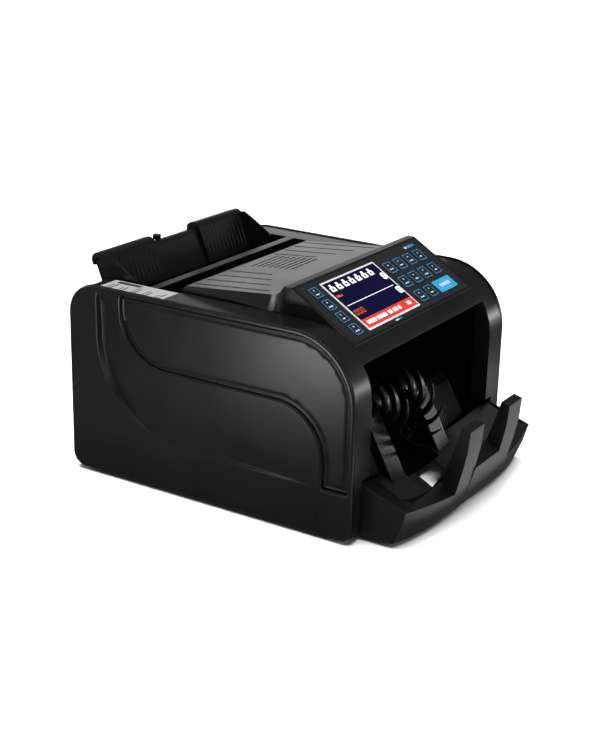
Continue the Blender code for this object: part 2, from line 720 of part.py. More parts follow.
def note_guide(side, name, shell):
    """A sliding guide: a face plate, a saddle over the fixed plate and a fin at its outer end."""
    foot = DECK_Z - GUIDE_FOOT_DROP
    apex = DECK_Z + GUIDE_APEX
    over = DECK_Z + PLATE_TOP + GAP
    front = GUIDE_WALL
    back = GUIDE_WALL + GAP + PLATE_THICKNESS + GAP
    lip = over - 6.0
    rear = back + 1.6
    outer = HALF - GUIDE_OUTER
    saddle = [
        (face_y(foot), foot, 0.0), (face_y(apex), apex, 6.5), (face_y(apex, rear), apex - 3.0, 6.0),
        (face_y(lip, rear), lip, 0.0), (face_y(lip, back), lip, 0.0),
        (face_y(over, back), over, 3.6), (face_y(over, front), over, 3.6),
        (face_y(foot, front), foot, 0.0)]
    span = sorted((side * GUIDE_INNER, side * outer))
    guide = add(name, prism(rounded(saddle), "X", *span), shell, origin=(side * outer, face_y(DECK_Z), DECK_Z))
    tip = REAR - FIN_REACH
    fin = [
        (face_y(foot - 1.0) + 1.0, foot + 0.4), (tip + 4.0, DECK_Z - 11.0), (tip - 0.4, DECK_Z - 4.0),
        (tip + 0.6, DECK_Z + 0.6), (REAR - 29.0, DECK_Z + 10.2), (face_y(apex) - 5.0, apex - 2.2),
        (face_y(apex) + 2.0, apex - 3.0), (face_y(foot + 1.0) + 1.0, foot + 1.0)]
    fin_span = sorted((side * (outer - FIN_THICKNESS), side * outer))
    boolean(guide, helper(name + "_fin", prism(fin, "X", *fin_span)), "UNION")
    return guide


def feed_table(shell):
    """The table that the notes stand on, with a lip at its front and a window over each roller."""
    lip = REAR - LIP_REAR
    line = [
        (lip - LIP_WIDTH, DECK_Z - 6.0), (lip - LIP_WIDTH, DECK_Z), (lip, DECK_Z),
        (lip + 2.2, DECK_Z - TABLE_DROP), (REAR - TABLE_END, DECK_Z - TABLE_DROP - TABLE_FALL)]
    half = OPENING_HALF - GAP
    table = add("feed_table", prism(strip(line, TABLE_WALL), "X", -half, half), shell)
    reach = ROLLER_WIDTH / 2 + 0.8
    windows = bmesh.new()
    for side in (-1, 1):
        x = side * FEED_X
        box((x - reach, x + reach), (FEED[0] - FEED_RADIUS + 5.0, FEED[0] + FEED_RADIUS - 1.0),
            (DECK_Z - 40, DECK_Z - 6.0), windows)
    for side in (-1, 1):
        x = side * PICKUP_X
        box((x - reach, x + reach), (PICKUP[0] - PICKUP_RADIUS + 1.0, PICKUP[0] + PICKUP_RADIUS),
            (DECK_Z - 40, DECK_Z - 6.0), windows)
    boolean(table, helper("roller_windows", windows))
    return table


def gap_knob(shell):
    """The feed-gap screw's knurled head on top of the back plate."""
    top = DECK_Z + PLATE_TOP
    middle = (face_y(top, GUIDE_WALL + GAP) + face_y(top, GUIDE_WALL + GAP + PLATE_THICKNESS)) / 2
    points = []
    teeth = 18
    for k in range(teeth * 2):
        radius = KNOB_RADIUS if k % 2 else KNOB_RADIUS - 0.35
        points.append((KNOB_X + radius * cos(pi * k / teeth), middle + radius * sin(pi * k / teeth)))
    return add("feed_gap_knob", prism(points, "Z", top + GAP, top + GAP + KNOB_HEIGHT), shell,
               origin=(KNOB_X, middle, top))


# ---- mechanism -----------------------------------------------------------------------------

def frame_plate(side, name, sheet):
    """A steel side plate with a clearance hole for each shaft."""
    front = FRONT + 21.0
    rear = REAR - 8.0
    low = PAN_TOP + GAP
    outline = rounded([
        (front, low, 3.0), (rear, low, 3.0), (rear, DECK_Z - 16.0, 6.0), (LID_Y, DECK_Z - 16.0, 6.0),
        (LID_Y - 16.0, path_z(LID_Y) + 8.0, 6.0), (front + 6.0, STACKER_Z + 40.0, 10.0),
        (front, STACKER_Z + 18.0, 4.0)], 30)
    span = sorted((side * FRAME_INNER, side * (FRAME_INNER + FRAME_SHEET)))
    plate = add(name, prism(outline, "X", *span), sheet)
    holes = bmesh.new()
    for centre in (STACKER, FEED, PICKUP, TRANSPORT):
        prism(circle(centre, SHAFT_RADIUS + BEARING_PLAY, 24), "X", -REACH, REACH, holes)
    if side < 0:
        prism(circle(MOTOR, SHAFT_RADIUS + BEARING_PLAY, 24), "X", -REACH, REACH, holes)
    boolean(plate, helper(name + "_holes", holes))
    return plate


def shaft(name, centre, steel):
    left = -HALF + SHAFT_END
    right = FRAME_INNER + FRAME_SHEET + 2.0
    profile = [(SHAFT_RADIUS - 0.5, left), (SHAFT_RADIUS, left + 0.5),
               (SHAFT_RADIUS, right - 0.5), (SHAFT_RADIUS - 0.5, right)]
    return add(name, lathe(profile, centre, 20), steel, origin=(0, *centre))


def roller(name, centre, radius, x, finish):
    low = x - ROLLER_WIDTH / 2
    body = ring_on_shaft(centre, radius, SHAFT_RADIUS + GAP, low, low + ROLLER_WIDTH)
    return add(name, body, finish, origin=(x, *centre))


def belt_lanes():
    """The two belt lanes outside the left frame plate, each as its low and high X."""
    plate = -FRAME_INNER - FRAME_SHEET
    lane_a = (plate - 1.5 - BELT_SPACE + 0.3, plate - 1.5)
    lane_b = (lane_a[0] - BELT_SPACE, lane_a[0] - 0.4)
    return lane_a, lane_b


def moulded_roller(name, centre, radius, x, finish, pulley_radius=0.0):
    """A roller in one piece with its shaft: two fat stretches, and a pulley where it has one."""
    s = SHAFT_RADIUS
    w = ROLLER_WIDTH / 2
    low, high = belt_lanes()[0]
    profile = [(s, -HALF + SHAFT_END)]
    if pulley_radius:
        profile += [(s, low), (pulley_radius, low), (pulley_radius, high), (s, high)]
    profile += [(s, -x - w), (radius, -x - w), (radius, -x + w), (s, -x + w),
                (s, x - w), (radius, x - w), (radius, x + w), (s, x + w), (s, FRAME_INNER + FRAME_SHEET + 2.0)]
    return add(name, lathe(profile, centre, 28), finish, origin=(0, *centre))


def wheel_outline():
    """A hub with curved blades: each blade leaves the hub and bends back to a thin tip."""
    points = []
    steps = 7
    sweep = radians(BLADE_SWEEP)
    for k in range(BLADES):
        root = -2 * pi * k / BLADES
        sides = ([], [])
        for i in range(steps + 1):
            share = i / steps
            radius = WHEEL_HUB + (WHEEL_RADIUS - WHEEL_HUB) * share
            angle = root - sweep * share ** 1.25
            thick = BLADE_ROOT + (BLADE_TIP - BLADE_ROOT) * share
            half = thick / radius * (0.75 + 0.35 * share)
            sides[0].append((radius, angle + half))
            sides[1].append((radius - 0.4 * share, angle - half))
        for radius, angle in sides[0] + sides[1][::-1]:
            points.append((radius * cos(angle), radius * sin(angle)))
    return points


def stacker_wheel(side, name, gloss):
    outline = [(STACKER[0] + u, STACKER[1] + v) for u, v in wheel_outline()]
    x = side * WHEEL_X
    low, high = x - WHEEL_WIDTH / 2, x + WHEEL_WIDTH / 2
    wheel = add(name, prism(outline, "X", low, high), gloss, origin=(x, *STACKER))
    bore = prism(circle(STACKER, SHAFT_RADIUS + GAP, 24), "X", low - 5, high + 5)
    boolean(wheel, helper(name + "_bore", bore))
    return wheel


def pulley(name, centre, radius, lane, finish):
    """A pulley in one of the two belt lanes outside the left frame plate."""
    low, high = lane
    body = ring_on_shaft(centre, radius, SHAFT_RADIUS + GAP, low, high, 36)
    return add(name, body, finish, origin=(low, *centre))


def belt(name, circles, lane, finish):
    grown = [(u, v, r + GAP + BELT_THICKNESS) for u, v, r in circles]
    outer = hull_loop(grown)
    inner = hull_loop([(u, v, r + GAP) for u, v, r in circles])
    bm = bmesh.new()
    low, high = lane
    loops = [[bm.verts.new((x, u, v)) for u, v in line]
             for line, x in ((outer, low), (outer, high), (inner, high), (inner, low))]
    count = len(outer)
    for k in range(4):
        a = loops[k]
        b = loops[(k + 1) % 4]
        for i in range(count):
            j = (i + 1) % count
            bm.faces.new((a[i], a[j], b[j], b[i]))
    return add(name, bm, finish)


def drive(finish):
    """Motor, its double pulley, the driven pulleys and the two belts."""
    plate = -FRAME_INNER - FRAME_SHEET
    lane_a, lane_b = belt_lanes()
    can = [(MOTOR_RADIUS * 0.6, -FRAME_INNER + GAP), (MOTOR_RADIUS, -FRAME_INNER + 3.0),
           (MOTOR_RADIUS, MOTOR_LENGTH - FRAME_INNER - 4.0), (MOTOR_RADIUS * 0.8, MOTOR_LENGTH - FRAME_INNER)]
    add("drive_motor", lathe(can, MOTOR, 36), finish["motor"], origin=(0, *MOTOR))
    spindle = [(SHAFT_RADIUS, plate + GAP), (SHAFT_RADIUS, lane_a[1]), (MOTOR_PULLEY, lane_a[1]),
               (MOTOR_PULLEY, lane_b[0]), (SHAFT_RADIUS, lane_b[0]), (SHAFT_RADIUS, lane_b[0] - 0.8)]
    add("motor_pulley", lathe(spindle, MOTOR, 32), finish["nylon"], origin=(lane_a[1], *MOTOR))
    pulley("feed_pulley", FEED, FEED_PULLEY, lane_a, finish["nylon"])
    pulley("stacker_pulley", STACKER, STACKER_PULLEY, lane_b, finish["nylon"])
    belt("feed_belt", [(*MOTOR, MOTOR_PULLEY), (*PICKUP, PICKUP_PULLEY), (*FEED, FEED_PULLEY)], lane_a,
         finish["belt"])
    belt("stacker_belt", [(*MOTOR, MOTOR_PULLEY), (*STACKER, STACKER_PULLEY)], lane_b, finish["belt"])


def path_plates(sheet):
    """Two steel plates that the notes run between on their way to the stacker."""
    half = OPENING_HALF - 2.0
    lift = 5.5
    for name, rise in (("lower_path_plate", 0.0), ("upper_path_plate", lift)):
        line = [(PATH_REAR[0], PATH_REAR[1] + rise + 3.0), (PATH_REAR[0] - 8.0, path_z(PATH_REAR[0] - 8.0) + rise),
                (PATH_FRONT[0], PATH_FRONT[1] + rise), (PATH_FRONT[0] - 7.0, PATH_FRONT[1] + rise - 4.0)]
        plate = add(name, prism(strip(line[::-1], FRAME_SHEET), "X", -half, half), sheet)
        if name == "lower_path_plate":
            holes = bmesh.new()
            reach = ROLLER_WIDTH / 2 + 1.0
            for side in (-1, 1):
                x = side * TRANSPORT_X
                box((x - reach, x + reach), (TRANSPORT[0] - 10.0, TRANSPORT[0] + 10.0),
                    (TRANSPORT[1] - 5.0, TRANSPORT[1] + 15.0), holes)
            boolean(plate, helper("path_windows", holes))


def boards(finish):
    """Main board and power supply on the base pan."""
    low = PAN_TOP + 4.0
    board = add("main_board", box((34.0, FRAME_INNER - 4.0), (FRONT + 60.0, MOTOR[0] - 14.0), (low, low + 1.6)),
                finish["board"])
    parts = bmesh.new()
    for k, (width, height) in enumerate(((9.0, 5.0), (6.0, 11.0), (12.0, 4.0), (8.0, 14.0))):
        y = FRONT + 66.0 + k * 18.0
        box((44.0, 44.0 + width), (y, y + width), (low + 1.0, low + 1.6 + height), parts)
        box((66.0, 66.0 + width / 2), (y, y + width), (low + 1.0, low + 1.6 + height / 2), parts)
    boolean(board, helper("board_parts", parts), "UNION")
    rear = REAR - 14.0
    supply = add("power_supply", box((-6.0, 54.0), (rear - 58.0, rear - 4.0), (low - 3.5, low + 34.0)),
                 finish["sheet"])
    core = box((4.0, 44.0), (rear - 62.0, rear), (low + 4.0, low + 26.0))
    boolean(supply, helper("supply_core", core), "UNION")


# ---- catch tray ----------------------------------------------------------------------------

def tray_section(x):
    """Points of the floor, trough, ledge and apron at x, from rear to front and down."""
    a = abs(x)
    climb = max(0.0, (a - RAMP_START) / (TRAY_HALF - RAMP_START))
    wing_fall = (WING_REAR_Z - WING_FRONT_Z) / (WING_FRONT_OUT - 2.2)

    def wing_z(out):
        return WING_REAR_Z - wing_fall * (out + 2.2)

    def blend(out, z, wing_out):
        reach = out + (wing_out - out) * climb
        return (FRONT - reach, z + (wing_z(wing_out) - z) * climb)

    bow = (a / TRAY_HALF) ** 4
    side = max(0.0, (a - PRONG_OUTER) / (TRAY_HALF - PRONG_OUTER))
    ledge = LEDGE_Z if a > PRONG_INNER else BRIDGE_Z
    push = 0.0 if a > PRONG_INNER else 4.8
    lip_out = LEDGE_OUT + LEDGE_DEPTH + push + (WING_FRONT_OUT - LEDGE_OUT - LEDGE_DEPTH) * side ** 1.5
    lip_z = ledge - LIP_DROP + (WING_FRONT_Z - ledge + LIP_DROP) * side
    ledge_out = LEDGE_OUT + push + (WING_FRONT_OUT - 3.0 - LEDGE_OUT) * side
    ledge_z = ledge + (WING_FRONT_Z + 0.9 - ledge) * side
    foot_out = APRON_FOOT_OUT - APRON_FOOT_BOW * bow
    return [
        blend(-FLOOR_EDGE, FLOOR_REAR_Z, -2.2),
        blend(TROUGH_OUT, TROUGH_Z, 14.0),
        (FRONT - ledge_out, ledge_z),
        (FRONT - lip_out, lip_z),
        (FRONT - (foot_out + (lip_out - foot_out) * 0.62), APRON_BOTTOM + (lip_z - APRON_BOTTOM) * 0.5),
        (FRONT - foot_out, APRON_BOTTOM)]


def tray_stations():
    """Places along X where the tray's section is drawn, closer together where it changes."""
    edge = TRAY_HALF - 0.6
    steps = 5
    half = [0.0, PRONG_INNER - 0.5, PRONG_INNER + 0.1, PRONG_OUTER]
    half += [RAMP_START + (edge - RAMP_START) * k / steps for k in range(steps + 1)]
    return [-x for x in half[:0:-1]] + half


def catch_tray(shell):
    """Floor, trough, bowed apron, two wings and two prongs in one moulding."""
    rings = [[(x, y, z) for y, z in strip(tray_section(x), -TRAY_WALL)] for x in tray_stations()]
    tray = add("catch_tray", loft(rings), shell)
    wings = bmesh.new()
    for side in (-1, 1):
        outline = [(FRONT + 2.0, APRON_BOTTOM), (FRONT + 2.0, WING_REAR_Z), (FRONT - WING_FRONT_OUT, WING_FRONT_Z),
                   (FRONT - APRON_FOOT_OUT + APRON_FOOT_BOW - 0.2, APRON_BOTTOM + 0.4)]
        span = sorted((side * (TRAY_HALF - TRAY_WALL), side * TRAY_HALF))
        prism(outline, "X", *span, wings)
    boolean(tray, helper("tray_wings", wings), "UNION")
    prongs = bmesh.new()
    tip = FRONT - PRONG_TIP_OUT
    levels = [(10.0, LEDGE_OUT + 2.0, LEDGE_OUT + LEDGE_DEPTH - 5.0),
              (LEDGE_Z - LIP_DROP, LEDGE_OUT + 0.6, LEDGE_OUT + LEDGE_DEPTH + 0.3),
              (45.0, 36.4, 49.4), (60.0, 41.6, 52.4)]
    for side in (-1, 1):
        rings = []
        for z, back, front in levels:
            rings.append([(side * PRONG_INNER, FRONT - back, z), (side * PRONG_OUTER, FRONT - back, z),
                          (side * PRONG_OUTER, FRONT - front, z), (side * PRONG_INNER, FRONT - front, z)])
        back = tip + PRONG_TIP_DEPTH
        rings.append([(side * PRONG_INNER, back, PRONG_TOP), (side * PRONG_OUTER, back, PRONG_TOP),
                      (side * PRONG_OUTER, tip, PRONG_TOP - 2.0), (side * PRONG_INNER, tip, PRONG_TOP - 2.0)])
        loft(rings, prongs)
    boolean(tray, helper("tray_prongs", prongs), "UNION")
    half = CUTOUT_HALF
    slot = CHUTE_INNER - 0.5
    slot_y = STACKER[0] - WHEEL_RADIUS + WHEEL_SLOT_BACK
    corners = [(slot, FRONT + REACH, 0.0), (slot, slot_y, 3.5), (half, slot_y, 3.0),
               (half, FRONT - CUTOUT_OUT, 10.0)]
    cut = rounded([(-x, y, r) for x, y, r in corners] + corners[::-1])
    boolean(tray, helper("tray_cutout", prism(cut, "Z", -50, 60)))
    return tray


def chute(side, name, shell):
    """A steep two-lane slide from the stacker wheels down to the tray's floor."""
    slope = radians(CHUTE_SLOPE)
    fall = (FLOOR_REAR_Z - TROUGH_Z) / (FLOOR_EDGE + TROUGH_OUT)
    foot_y = FRONT + 5.7
    foot_z = FLOOR_REAR_Z - fall * (FRONT + FLOOR_EDGE - foot_y)
    top_y = foot_y + (CHUTE_TOP - foot_z) / tan(slope)

    def lane(back):
        drop = 4.0 * back / CHUTE_SETBACK
        turn = arc((top_y + back + CHUTE_ROUND, CHUTE_TOP - drop), CHUTE_ROUND, 175, 90, 5)
        start = (foot_y + back - 8.0 / tan(slope), foot_z - 8.0)
        return strip([start] + turn, CHUTE_WALL)

    inner = sorted((side * CHUTE_INNER, side * CHUTE_STEP))
    piece = add(name, prism(lane(0.0), "X", *inner), shell)
    outer = sorted((side * (CHUTE_STEP - CHUTE_WALL), side * (OPENING_HALF - 1.2)))
    boolean(piece, helper(name + "_outer_lane", prism(lane(CHUTE_SETBACK), "X", *outer)), "UNION")
    web = sorted((side * (CHUTE_STEP - CHUTE_WALL + 0.1), side * (CHUTE_STEP - 0.1)))
    joint = [(foot_y + 1.0, foot_z), (foot_y + CHUTE_SETBACK + 1.0, foot_z),
             (top_y + CHUTE_SETBACK + 1.0, CHUTE_TOP - 8.0), (top_y + 1.0, CHUTE_TOP - 3.0)]
    boolean(piece, helper(name + "_web", prism(joint, "X", *web)), "UNION")
    rings = []
    for x in tray_stations():
        if x * side < CHUTE_INNER - 8.0:
            continue
        rear, trough = tray_section(x)[:2]
        lift = GAP + 0.15
        rings.append([(x, trough[0] - 20.0, trough[1] + lift), (x, trough[0], trough[1] + lift),
                      (x, rear[0], rear[1] + lift), (x, rear[0] + 40.0, rear[1] + lift + 40.0 * fall),
                      (x, rear[0] + 40.0, -60.0), (x, trough[0] - 20.0, -60.0)])
    boolean(piece, helper(name + "_foot", loft(rings)))
    return piece


# ---- base and rear -------------------------------------------------------------------------

def base_pan(sheet):
    half = COVER_INNER - COVER_LAYER - GAP
    low, top = PAN_BOTTOM, PAN_TOP
    inner = half - PAN_SHEET
    outline = [(-half, low), (half, low), (half, low + PAN_FLANGE), (inner, low + PAN_FLANGE), (inner, top),
               (-inner, top), (-inner, low + PAN_FLANGE), (-half, low + PAN_FLANGE)]
    pan = add("base_pan", prism(outline, "Y", FRONT + 17.0, REAR - 3.6), sheet)
    slots = bmesh.new()
    for k in range(6):
        y = FRONT + 70.0 + k * 9.0
        box((-70.0, -30.0), (y, y + 3.0), (low - 5, top + 5), slots)
    boolean(pan, helper("pan_slots", slots))
    return pan


def rear_side(finish):
    """Rear panel with the mains inlet and the rocker switch."""
    outer = REAR - 0.6
    sheet = (outer - PANEL_SHEET, outer)
    low = PAN_BOTTOM
    high = ROOM_TOP - GAP
    half = HOUSING_HALF
    panel = add("rear_panel", box((-half, half), sheet, (low, high)), finish["shell"])
    cuts = bmesh.new()
    box((INLET_X - INLET_WIDTH / 2 - GAP, INLET_X + INLET_WIDTH / 2 + GAP), (REAR - 9, REAR + 9),
        (INLET_Z - INLET_HEIGHT / 2 - GAP, INLET_Z + INLET_HEIGHT / 2 + GAP), cuts)
    box((SWITCH_X - SWITCH_WIDTH / 2 - GAP, SWITCH_X + SWITCH_WIDTH / 2 + GAP), (REAR - 9, REAR + 9),
        (INLET_Z - SWITCH_HEIGHT / 2 - GAP, INLET_Z + SWITCH_HEIGHT / 2 + GAP), cuts)
    for row in range(7):
        z = 74.0 + row * 6.0
        box((20.0, 90.0), (REAR - 9, REAR + 9), (z, z + 2.2), cuts)
    boolean(panel, helper("rear_cuts", cuts))
    deep = outer - INLET_DEPTH
    inlet = add("power_inlet", box((INLET_X - INLET_WIDTH / 2, INLET_X + INLET_WIDTH / 2), (deep, outer + 0.4),
                                   (INLET_Z - INLET_HEIGHT / 2, INLET_Z + INLET_HEIGHT / 2)), finish["gloss"])
    socket = rounded([(INLET_X + 11.0, INLET_Z + 7.0, 1.0), (INLET_X + 11.0, INLET_Z - 3.5, 1.0),
                      (INLET_X + 7.0, INLET_Z - 7.5, 1.0), (INLET_X - 7.0, INLET_Z - 7.5, 1.0),
                      (INLET_X - 11.0, INLET_Z - 3.5, 1.0), (INLET_X - 11.0, INLET_Z + 7.0, 1.0)], 30)
    boolean(inlet, helper("inlet_socket", prism(socket, "Y", deep + 2.5, REAR + 9)))
    pins = bmesh.new()
    for x, z in ((-6.5, 1.2), (0.0, -2.6), (6.5, 1.2)):
        box((INLET_X + x - PIN_WIDTH / 2, INLET_X + x + PIN_WIDTH / 2), (deep + 1.5, outer - 2.0),
            (INLET_Z + z - 2.0, INLET_Z + z + 2.0), pins)
    boolean(inlet, helper("inlet_pins", pins), "UNION")
    face = outer - SWITCH_SUNK
    pivot = (SWITCH_X, face - SWITCH_PIVOT_DEPTH, INLET_Z)
    reach = SWITCH_HEIGHT / 2 - 2.4
    rocker = [(face - 3.4, INLET_Z - reach), (face + 0.2, INLET_Z - reach - 0.2), (face - 1.0, INLET_Z),
              (face + 0.2, INLET_Z + reach + 0.2), (face - 3.4, INLET_Z + reach), (face - 9.0, INLET_Z + 3.0),
              (face - 9.0, INLET_Z - 3.0)]
    tilt = radians(SWITCH_SWING)
    rocker = [(pivot[1] + (y - pivot[1]) * cos(tilt) - (z - pivot[2]) * sin(tilt),
               pivot[2] + (y - pivot[1]) * sin(tilt) + (z - pivot[2]) * cos(tilt)) for y, z in rocker]
    add("power_switch", prism(rocker, "X", SWITCH_X - SWITCH_WIDTH / 2 + 1.0, SWITCH_X + SWITCH_WIDTH / 2 - 1.0),
        finish["gloss"], origin=pivot)


def feet(finish):
    x = HALF - FOOT_INSET_X
    for name, side, y in (("foot_front_left", -1, FRONT + FOOT_INSET_Y), ("foot_front_right", 1, FRONT + FOOT_INSET_Y),
                          ("foot_rear_left", -1, REAR - FOOT_INSET_Y), ("foot_rear_right", 1, REAR - FOOT_INSET_Y)):
        centre = (side * x, y)
        rings = []
        for radius, z in ((FOOT_RADIUS - 1.0, 0.0), (FOOT_RADIUS, 1.0), (FOOT_RADIUS, PAN_BOTTOM - GAP)):
            rings.append([(u, v, z) for u, v in circle(centre, radius, 28)])
        add(name, loft(rings), finish)


def build():
    for item in list(bpy.data.objects):
        bpy.data.objects.remove(item)
    finish = finishes()
    shell = finish["shell"]
    for side, word in ((-1, "left"), (1, "right")):
        side_cover(side, word + "_side_cover", shell)
        inlay(side, word + "_ribbon_panel", finish["inlay"])
        note_guide(side, word + "_note_guide", shell)
        frame_plate(side, word + "_frame_plate", finish["sheet"])
        chute(side, word + "_chute", shell)
        stacker_wheel(side, word + "_stacker_wheel", finish["gloss"])
        roller(word + "_feed_roller", FEED, FEED_RADIUS, side * FEED_X, finish["rubber"])
    main_housing(shell)
    panel_pieces(console(shell), finish)
    hopper_plate(shell)
    feed_table(shell)
    gap_knob(finish["gloss"])
    shaft("feed_shaft", FEED, finish["steel"])
    moulded_roller("pickup_roller", PICKUP, PICKUP_RADIUS, PICKUP_X, finish["rubber"], PICKUP_PULLEY)
    shaft("stacker_shaft", STACKER, finish["steel"])
    moulded_roller("transport_roller", TRANSPORT, TRANSPORT_RADIUS, TRANSPORT_X, finish["rubber"])
    drive(finish)
    path_plates(finish["sheet"])
    boards(finish)
    catch_tray(shell)
    base_pan(finish["sheet"])
    rear_side(finish)
    feet(finish["foot"])


build()
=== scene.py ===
# Banknote counting machine: visible surfaces, finishes, lights and camera.
import json
import math
import bpy
import bmesh
import numpy as np
from mathutils import Matrix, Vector
from mathutils.geometry import delaunay_2d_cdt


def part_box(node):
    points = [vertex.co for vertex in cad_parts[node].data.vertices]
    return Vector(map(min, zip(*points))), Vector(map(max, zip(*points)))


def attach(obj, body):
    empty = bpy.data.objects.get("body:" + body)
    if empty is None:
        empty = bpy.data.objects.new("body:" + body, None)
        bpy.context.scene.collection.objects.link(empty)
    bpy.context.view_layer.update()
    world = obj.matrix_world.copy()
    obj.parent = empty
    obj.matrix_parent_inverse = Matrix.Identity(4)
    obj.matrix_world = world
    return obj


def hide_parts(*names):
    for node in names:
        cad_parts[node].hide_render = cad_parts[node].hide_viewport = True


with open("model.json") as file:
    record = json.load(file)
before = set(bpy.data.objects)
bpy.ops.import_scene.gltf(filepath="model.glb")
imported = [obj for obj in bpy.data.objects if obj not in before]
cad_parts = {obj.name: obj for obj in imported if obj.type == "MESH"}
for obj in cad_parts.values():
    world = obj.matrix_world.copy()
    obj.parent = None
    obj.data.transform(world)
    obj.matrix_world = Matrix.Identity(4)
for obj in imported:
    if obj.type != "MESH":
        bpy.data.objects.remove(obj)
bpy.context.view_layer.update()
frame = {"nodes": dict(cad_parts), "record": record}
mm = 0.001  # the sizes below are millimetres, and the frame is metres
record = frame["record"]
nodeBody = {name: body for body, names in record["behaviour"]["bodies"].items() for name in names}
nodeSlot = {part["node"]: part["material_slot"] for part in record["subparts"]}
print("frame loaded:", len(nodeBody), "nodes")


# ---- finishes

def linear(hexText):
    # sRGB hex to the linear colour that the shader wants
    parts = [int(hexText[i:i + 2], 16) / 255 for i in (1, 3, 5)]
    return tuple(c / 12.92 if c <= 0.04045 else ((c + 0.055) / 1.055) ** 2.4 for c in parts) + (1.0,)


def addNode(tree, kind, settings=None, links=None):
    made = tree.nodes.new(kind)
    for key, value in (settings or {}).items():
        if isinstance(key, int) or key in made.inputs:
            made.inputs[key].default_value = value
        else:
            setattr(made, key, value)
    for key, source in (links or {}).items():
        tree.links.new(source, made.inputs[key])
    return made


def startMaterial(name, settings):
    made = bpy.data.materials.new(name)
    made.use_nodes = True
    shader = made.node_tree.nodes["Principled BSDF"]
    for key, value in settings.items():
        shader.inputs[key].default_value = value
    place = addNode(made.node_tree, "ShaderNodeTexCoord").outputs["Object"]
    return made, made.node_tree, shader, place


def grained(name, looks):
    # A finish known by its colour drift, its gloss drift and a fine bump. Noise lies mostly between 0.3 and 0.7,
    # so that range is stretched over the two colours and over the roughness.
    made, tree, shader, place = startMaterial(name, {
        "Metallic": looks.get("metallic", 0.0), "IOR": looks.get("ior", 1.5),
        "Specular IOR Level": looks.get("specular", 0.5)})
    drift = addNode(tree, "ShaderNodeTexNoise", {"Scale": 1 / (looks["driftMm"] * mm), "Detail": 3.0},
                    {"Vector": place}).outputs["Fac"]
    stretch = addNode(tree, "ShaderNodeMapping", {"Scale": looks.get("stretch", (1, 1, 1))}, {"Vector": place})
    grain = addNode(tree, "ShaderNodeTexNoise", {"Scale": 1 / (looks["grainMm"] * mm), "Detail": 2.0},
                    {"Vector": stretch.outputs["Vector"]}).outputs["Fac"]
    ramp = addNode(tree, "ShaderNodeValToRGB", None, {"Fac": drift})
    for element, position, shade in zip(ramp.color_ramp.elements, (0.35, 0.65), looks["colours"]):
        element.position = position
        element.color = linear(shade)
    tree.links.new(ramp.outputs["Color"], shader.inputs["Base Color"])
    low, high = looks["roughness"]
    mixed = addNode(tree, "ShaderNodeMix", {"Factor": 0.5}, {"A": drift, "B": grain}).outputs["Result"]
    gloss = addNode(tree, "ShaderNodeMapRange", {"From Min": 0.3, "From Max": 0.7, "To Min": low, "To Max": high},
                    {"Value": mixed})
    tree.links.new(gloss.outputs["Result"], shader.inputs["Roughness"])
    bump = addNode(tree, "ShaderNodeBump", {"Strength": looks["bump"], "Distance": looks["reliefMm"] * mm},
                   {"Height": grain})
    tree.links.new(bump.outputs["Normal"], shader.inputs["Normal"])
    return made


